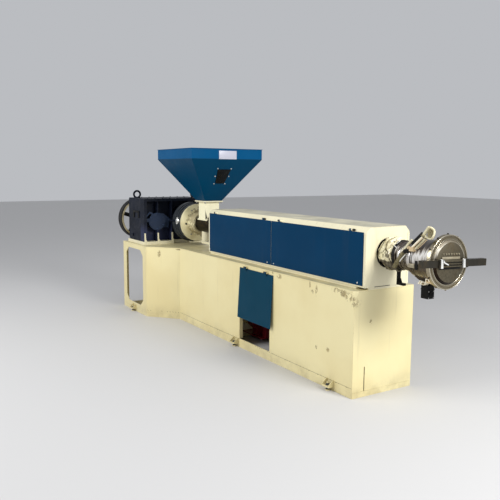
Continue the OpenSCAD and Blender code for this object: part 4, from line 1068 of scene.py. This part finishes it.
def die_heater_details():
    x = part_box("die_body")[0].x
    solid = Solid()
    profile = [(0.1125, x + 0.072), (0.1258, x + 0.126), (0.1308, x + 0.200), (0.1318, x + 0.284)]
    (inner, start), (outer, end) = profile[0], profile[-1]
    outside = [(radius + 0.0014, along) for radius, along in profile]
    solid.turned([(inner - 0.002, start), *outside, (outer - 0.002, end)], 72, True)
    solid.piece("die_heater_sheet", "sheet")
    solid = Solid()
    solid.band(x + 0.112, x + 0.119, 0.1262, 0.118)
    solid.band(x + 0.130, x + 0.134, 0.1290, 0.120)
    solid.band(x + 0.262, x + 0.266, 0.1338, 0.125)
    # A dark patch beside the clamp lug: painted shadow; the thin rings above are seams
    solid.box((x + 0.168, -0.1345, 0.966), (x + 0.190, -0.128, 1.024))
    solid.piece("die_sheet_seams", "dark", bevel=0.0006)
    solid = Solid()
    solid.band(x + 0.086, x + 0.110, 0.1245, 0.112)
    solid.piece("die_clamp_strap", "steel", bevel=0.0008)
    solid = Solid()
    solid.box((x + 0.112, -0.136, 0.975), (x + 0.164, -0.110, 1.001))
    solid.piece("die_clamp_lug", "worn_and_highlight", bevel=0.003)
    solid = Solid()
    solid.band(0.196, 0.214, 0.0965, 0.088)
    solid.piece("adapter_ring", "steel", bevel=0.0015)


# The wrap: its outline as (x, radius), where it ends, its inner radius, its burnt hole and its fineness

WRAP_SHAPE = ((0.022, 0.098), (0.034, 0.105), (0.054, 0.1105), (0.100, 0.1090), (0.150, 0.1035))
WRAP_END = 0.151
WRAP_BORE = 0.0906
WRAP_HOLE = Vector((0.114, -0.105, 1.0232))
WRAP_RINGS = 60
WRAP_SIDES = 176

# Bits that lie on the wrap: name, finish, how many, radius and sweep in degrees

WRAP_BITS = (("wrap_scraps", "cloth", 22, 0.0062, 34), ("wrap_ends", "pale", 9, 0.0042, 40),
             ("wrap_cords", "khaki", 14, 0.0034, 60), ("wrap_wires", "dark", 7, 0.0020, 80))
CLAMP_TAIL = (((0.1133, -0.071, 1.1037), (0.135, -0.077, 1.0985), (0.1514, -0.0801, 1.0944),
               (0.172, -0.085, 1.088), (0.1867, -0.0887, 1.083)),
              ((0.1351, -0.0647, 1.109), (0.1445, -0.0735, 1.1015), (0.1514, -0.0810, 1.0940)),
              ((0.1546, -0.065, 1.1007), (0.166, -0.056, 1.116), (0.1797, -0.045, 1.1308)))


def tape_noise(x, angle, fineness, shift=Vector()):
    return noise.noise(Vector((x, math.cos(angle) * fineness, math.sin(angle) * fineness)) + shift)


def wrap_fold(x, angle):
    """Folds of the glass tape: long along its turns, below 0 in a crease and above it on a ridge."""
    drift = 1.4 * noise.noise(Vector((math.cos(angle), math.sin(angle), x * 12)) * 1.3)
    return tape_noise(x * 30 + drift, angle, 2.0) + 0.35 * tape_noise(x * 85, angle, 5.5)


def wrap_radius(x, angle):
    """Outer radius of the wrap: it narrows towards the collar, with lumps, folds and laps."""
    lumps = 0.0050 * tape_noise(x * 12, angle, 1.8, Vector((3, 1, 0)))
    lap = 0.0030 * (((x * 44 + angle / math.tau) % 1.0) - 0.5)
    for (x0, r0), (x1, r1) in zip(WRAP_SHAPE, WRAP_SHAPE[1:]):
        if x <= x1:
            break
    return r0 + (r1 - r0) * (x - x0) / (x1 - x0) + lumps + 0.0125 * wrap_fold(x, angle) + lap


def wound(x0, x1, start, sweep, radius):
    """A line of points that winds round the wrap, partly sunk into it."""
    points = []
    for i in range(17):
        t = i / 16
        x = x0 + (x1 - x0) * t + 0.004 * math.sin(9 * t + start)
        angle = math.radians(start + sweep * t)
        points.append(about(x, wrap_radius(x, angle) + radius * 0.35, angle))
    return points


def wrap_shade_and_soil(point):
    """How dark the wrap is: in its creases as painted shade, and at its burnt hole."""
    crease = max(0.0, -0.04 - wrap_fold(point.x, math.atan2(point.z - AXIS_Z, point.y))) * 4.6
    return min(1.0, crease + (1.0 if (point - WRAP_HOLE).length < 0.015 else 0.0))


def wrap_details():
    start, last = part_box("barrel_wrap")[0].x + 0.001, WRAP_RINGS - 1
    rings = []
    for i in range(WRAP_RINGS):
        x = start + (WRAP_END - start) * i / last
        pinch = 0.010 * (1 - min(1.0, i / 4, (last - i) / 4))
        rings.append([about(x, wrap_radius(x, a) - pinch, a) for a in turns(WRAP_SIDES)])
    for x in (WRAP_END, start):
        rings.append(circle(x, WRAP_BORE, WRAP_SIDES))
    solid = Solid()
    solid.loft(rings, True)
    cloth = solid.piece("wrap_of_glass_tape", "cloth", 80, soil=wrap_shade_and_soil)
    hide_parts("barrel_wrap")
    rest = random.Random(11)
    for name, finish, count, radius, long in WRAP_BITS:
        lines = []
        for _ in range(count):
            x = rest.uniform(0.036, 0.140)
            end = x + rest.uniform(-0.020, 0.020)
            turn = rest.uniform(0, 360)
            lines.append(wound(x, end, turn, rest.uniform(0.5, 1.0) * long, radius))
        sleeve(name, finish, lines, radius, 0.0004, 0.005, 10, 0.004)
    sleeve("wrap_clamp_tail", "bright", CLAMP_TAIL, 0.0032, sides=12, step=0.003)
    solid = Solid()
    solid.band(0.1495, 0.1755, 0.1045, 0.0915)
    solid.piece("adapter_collar_band", "dark", bevel=0.002)


# Sleeves of the heater leads: name, finish, radius, ridge height, ridge pitch, sides, step, and lines of
# points as (x, distance from LEAD_Y, z)

LEAD_SLEEVES = (
    ("lead_sleeve_upper", "pale", 0.0078, 0.0005, 0.006, 16, 0.002, [
        [(0.360, -0.004, 1.104), (0.3917, -0.006, 1.1306), (0.424, -0.006, 1.159), (0.456, -0.004, 1.188)]]),
    ("lead_sleeve_second", "cloth", 0.0070, 0.0004, 0.006, 16, 0.002, [
        [(0.374, 0.004, 1.094), (0.4035, 0.004, 1.1195), (0.437, 0.004, 1.149), (0.467, 0.004, 1.1755)]]),
    ("lead_tan_wire", "tan", 0.0026, 0.0, 0.006, 10, 0.003, [
        [(0.366, -0.010, 1.0985), (0.398, -0.012, 1.1255), (0.431, -0.012, 1.154), (0.461, -0.010, 1.1805)],
        [(0.400, 0.006, 1.100), (0.424, 0.008, 1.122), (0.452, 0.008, 1.146), (0.476, 0.006, 1.166)]]),
    ("lead_sleeve_short", "cloth", 0.0085, 0.0004, 0.006, 16, 0.002, [
        [(0.2896, 0, 1.0785), (0.3063, -0.001, 1.1001), (0.3312, -0.001, 1.1289), (0.356, 0, 1.1541)]]),
    ("lead_bare_wire", "bright", 0.0030, 0.0, 0.006, 10, 0.003, [
        [(0.2665, -0.012, 1.004), (0.279, -0.015, 1.018), (0.292, -0.015, 1.032), (0.316, -0.012, 1.057)]]),
    ("lead_cap_fold", "cloth", 0.0105, 0.0010, 0.008, 16, 0.002, [
        [(0.4518, -0.002, 1.1824), (0.463, -0.008, 1.199), (0.4786, -0.008, 1.2196),
         (0.4985, -0.004, 1.2480)]]),
    ("lead_cap_tie", "khaki", 0.0030, 0.0, 0.006, 10, 0.003, [
        [(0.446, -0.016, 1.196), (0.456, -0.020, 1.190), (0.468, -0.016, 1.180), (0.474, 0, 1.176),
         (0.466, 0.014, 1.182), (0.450, 0.012, 1.192)]]))
LEAD_RUN = ((0.207, 0.957), (0.2175, 0.975), (0.232, 0.996), (0.248, 1.017), (0.269, 1.043), (0.288, 1.064))
CAP_CENTRE = Vector((0.511, LEAD_Y, 1.213))


def cap_point(centre, angle, up, size):
    """A point of a pleated ball that is half as deep as it is wide."""
    around, aside = math.cos(angle), math.sin(angle)
    pleat = 1 + 0.10 * math.sin(angle * 7 + 3 * up) + 0.22 * noise.noise(Vector((around, aside, up)) * 2.0)
    wide = math.cos(up) * pleat
    return centre + Vector((around * wide, aside * wide * 0.5, math.sin(up))) * size


def lead_details():
    y = LEAD_Y
    run = [(x, y, z) for x, z in LEAD_RUN]
    ribbed = sleeve("lead_ribbed_sleeve", "khaki", [run], 0.0135, 0.0018, 0.0066, 22, 0.0012)
    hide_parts("heater_leads")
    solid = Solid()
    start, end = Vector((0.292, y, 1.072)), Vector((0.352, y, 1.098))
    length = (end - start).length
    profile = [(0.009, 0), (0.0150, 0.003), (0.0150, 0.018), (0.0110, 0.020), (0.0110, 0.028),
               (0.0160, 0.030), (0.0160, 0.042), (0.0135, 0.044), (0.0135, length - 0.004), (0.011, length)]
    solid.lathe(start, end - start, profile, 20)
    solid.piece("lead_connector", "dark", bevel=0.0006)
    solid = Solid()
    solid.box((0.346, y - 0.016, 1.082), (0.382, y + 0.010, 1.110))
    solid.rod((0.330, y - 0.012, 1.098), (0.350, y - 0.014, 1.110), 0.0075, 12, 0.002)
    solid.piece("lead_terminal", "tan", bevel=0.005)
    for name, finish, radius, ridge, pitch, sides, step, lines in LEAD_SLEEVES:
        placed = [[(x, y + aside, z) for x, aside, z in line] for line in lines]
        sleeve(name, finish, placed, radius, ridge, pitch, sides, step)
    solid = Solid()
    start, end = Vector((0.352, y + 0.010, 1.127)), Vector((0.440, y + 0.010, 1.206))
    across = Vector(FAR).cross(end - start).normalized() * 0.0100
    solid.plate([start - across, start + across, end + across, end - across], NEAR, 0.012)
    solid.piece("lead_black_strip", "dark", bevel=0.003)
    solid = Solid()
    heights = [math.radians(-80 + 10 * i) for i in range(17)]
    for offset, size in ((Vector((-0.004, 0, 0.010)), 0.020), (Vector((0.002, 0, -0.012)), 0.027)):
        solid.loft([[cap_point(CAP_CENTRE + offset, a, up, size) for a in turns(32)] for up in heights])
    solid.piece("lead_cap_core", "khaki", 80)
    angles = [math.radians(150 - 10 * i) for i in range(31)]
    hem = [CAP_CENTRE + Vector((0.036 * math.cos(a), -0.010 + 0.004 * math.sin(3 * a), 0.036 * math.sin(a)))
           for a in angles]
    sleeve("lead_cap_hem", "cloth", [hem], 0.0060, 0.0012, 0.009, 14, 0.002)


def terminal_details():
    low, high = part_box("terminal_box")
    solid = Solid()
    solid.rod((0.372, -0.006, 0.854), (0.372, -0.006, 0.893), 0.010, 18, 0.001)
    solid.rod((0.408, 0.006, 0.854), (0.408, 0.006, 0.893), 0.010, 18, 0.001)
    solid.piece("terminal_posts", "dark")
    solid = Solid()
    outline = ((0.306, 0.925), (0.312, 0.904), (0.352, 0.884), (0.408, 0.884), (0.414, 0.906), (0.478, 0.908),
               (0.478, 0.925))
    solid.plate([(x, -0.044, z) for x, z in outline], FAR, 0.088)
    solid.piece("terminal_bracket", "burnt", bevel=0.002)
    solid = Solid()
    solid.box((0.366, -0.052, 0.858), (0.404, 0.018, 0.880))
    solid.box((0.412, -0.050, 0.878), (0.482, 0.026, 0.903))
    for x in (0.372, 0.392):
        solid.rod((x, -0.050, 0.884), (x - 0.008, -0.062, 0.862), 0.0062, 12, 0.001)
    solid.piece("terminal_ceramic", "pale", bevel=0.0025)
    solid = Solid()
    solid.rod((0.420, -0.048, 0.884), (0.476, -0.050, 0.880), 0.0062, 12, 0.001)
    solid.piece("terminal_prongs", "tan")
    points = [(x, -0.052, 0.868) for x in (0.384, 0.398)] + [(x, -0.050, 0.893) for x in (0.428, 0.466)]
    fixings("terminal_nuts", "nut_on_stud", "copper", NEAR, points, 0.7)
    solid = Solid()
    solid.box((low.x - 0.002, low.y - 0.002, low.z + 0.058), (high.x + 0.002, high.y + 0.002, low.z + 0.064))
    profile = [(0.015, -0.001), (0.015, 0.003), (0.011, 0.004), (0.011, 0.002)]
    solid.lathe((high.x, 0.0, low.z + 0.034), AHEAD, profile, 24)
    solid.piece("terminal_box_lid_line", "black", bevel=0.0008)
    points = [(high.x, y, z) for y in (-0.022, 0.022) for z in (low.z + 0.008, low.z + 0.050)]
    fixings("terminal_box_screws", "round_screw", "screw", AHEAD, points, 0.7)
    solid = Solid()
    solid.plate([(0.1375, -0.0122, 0.829), (0.150, -0.0122, 0.832), (0.1375, -0.0122, 0.862)], FAR, 0.0244)
    solid.box((0.116, -0.015, 0.906), (0.137, 0.015, 0.921))
    solid.piece("elbow_web", "black", bevel=0.001)


def motor_details():
    low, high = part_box("motor")
    y, z = MOTOR_Y, MOTOR_Z
    rows = ((0.06, 12), (0.095, 19), (0.13, 26))
    points = [point for radius, count in rows for point in circle(high.x, radius, count, 0, y, z)]
    fixings("motor_cowl_slots", "slot", "dark", AHEAD, points, 0.6, 2)
    points = circle(low.x + 0.024, 0.135, 4, 45, y, z)
    fixings("motor_shield_bolts", "hex_bolt", "screw", BACK, points, 1.1)
    points = [(low.x + 0.174 + dx, y - 0.230, z + dz) for dx in (0.014, 0.126) for dz in (0.022, 0.098)]
    fixings("motor_box_screws", "round_screw", "screw", NEAR, points)
    feet = [(x, side) for x in (low.x + 0.090, high.x - 0.190) for side in (-1, 1)]
    solid = Solid()
    for x, side in feet:
        inner, outer = sorted((side * 0.108, side * 0.166))
        solid.box((x - 0.028, y + inner, 0.360), (x + 0.028, y + outer, 0.372))
    solid.piece("motor_feet", "gearbox", bevel=0.002)
    points = [(x, y + side * 0.145, 0.372) for x, side in feet]
    fixings("motor_foot_bolts", "hex_bolt", "screw", UP, points, 1.4)


place_camera()
set_stage()
finishes = make_finishes()
trees = {"smooth": smooth_tree(), "heads": heads_tree(), "sleeve": sleeve_tree()}
dress_cad_nodes()
heads = make_heads()
hopper_details()
feed_details()
gearbox_details()
hood_details()
base_details()
die_details()
bar_details()
die_heater_details()
wrap_details()
lead_details()
terminal_details()
motor_details()
for head in heads.values():
    bpy.data.objects.remove(head)
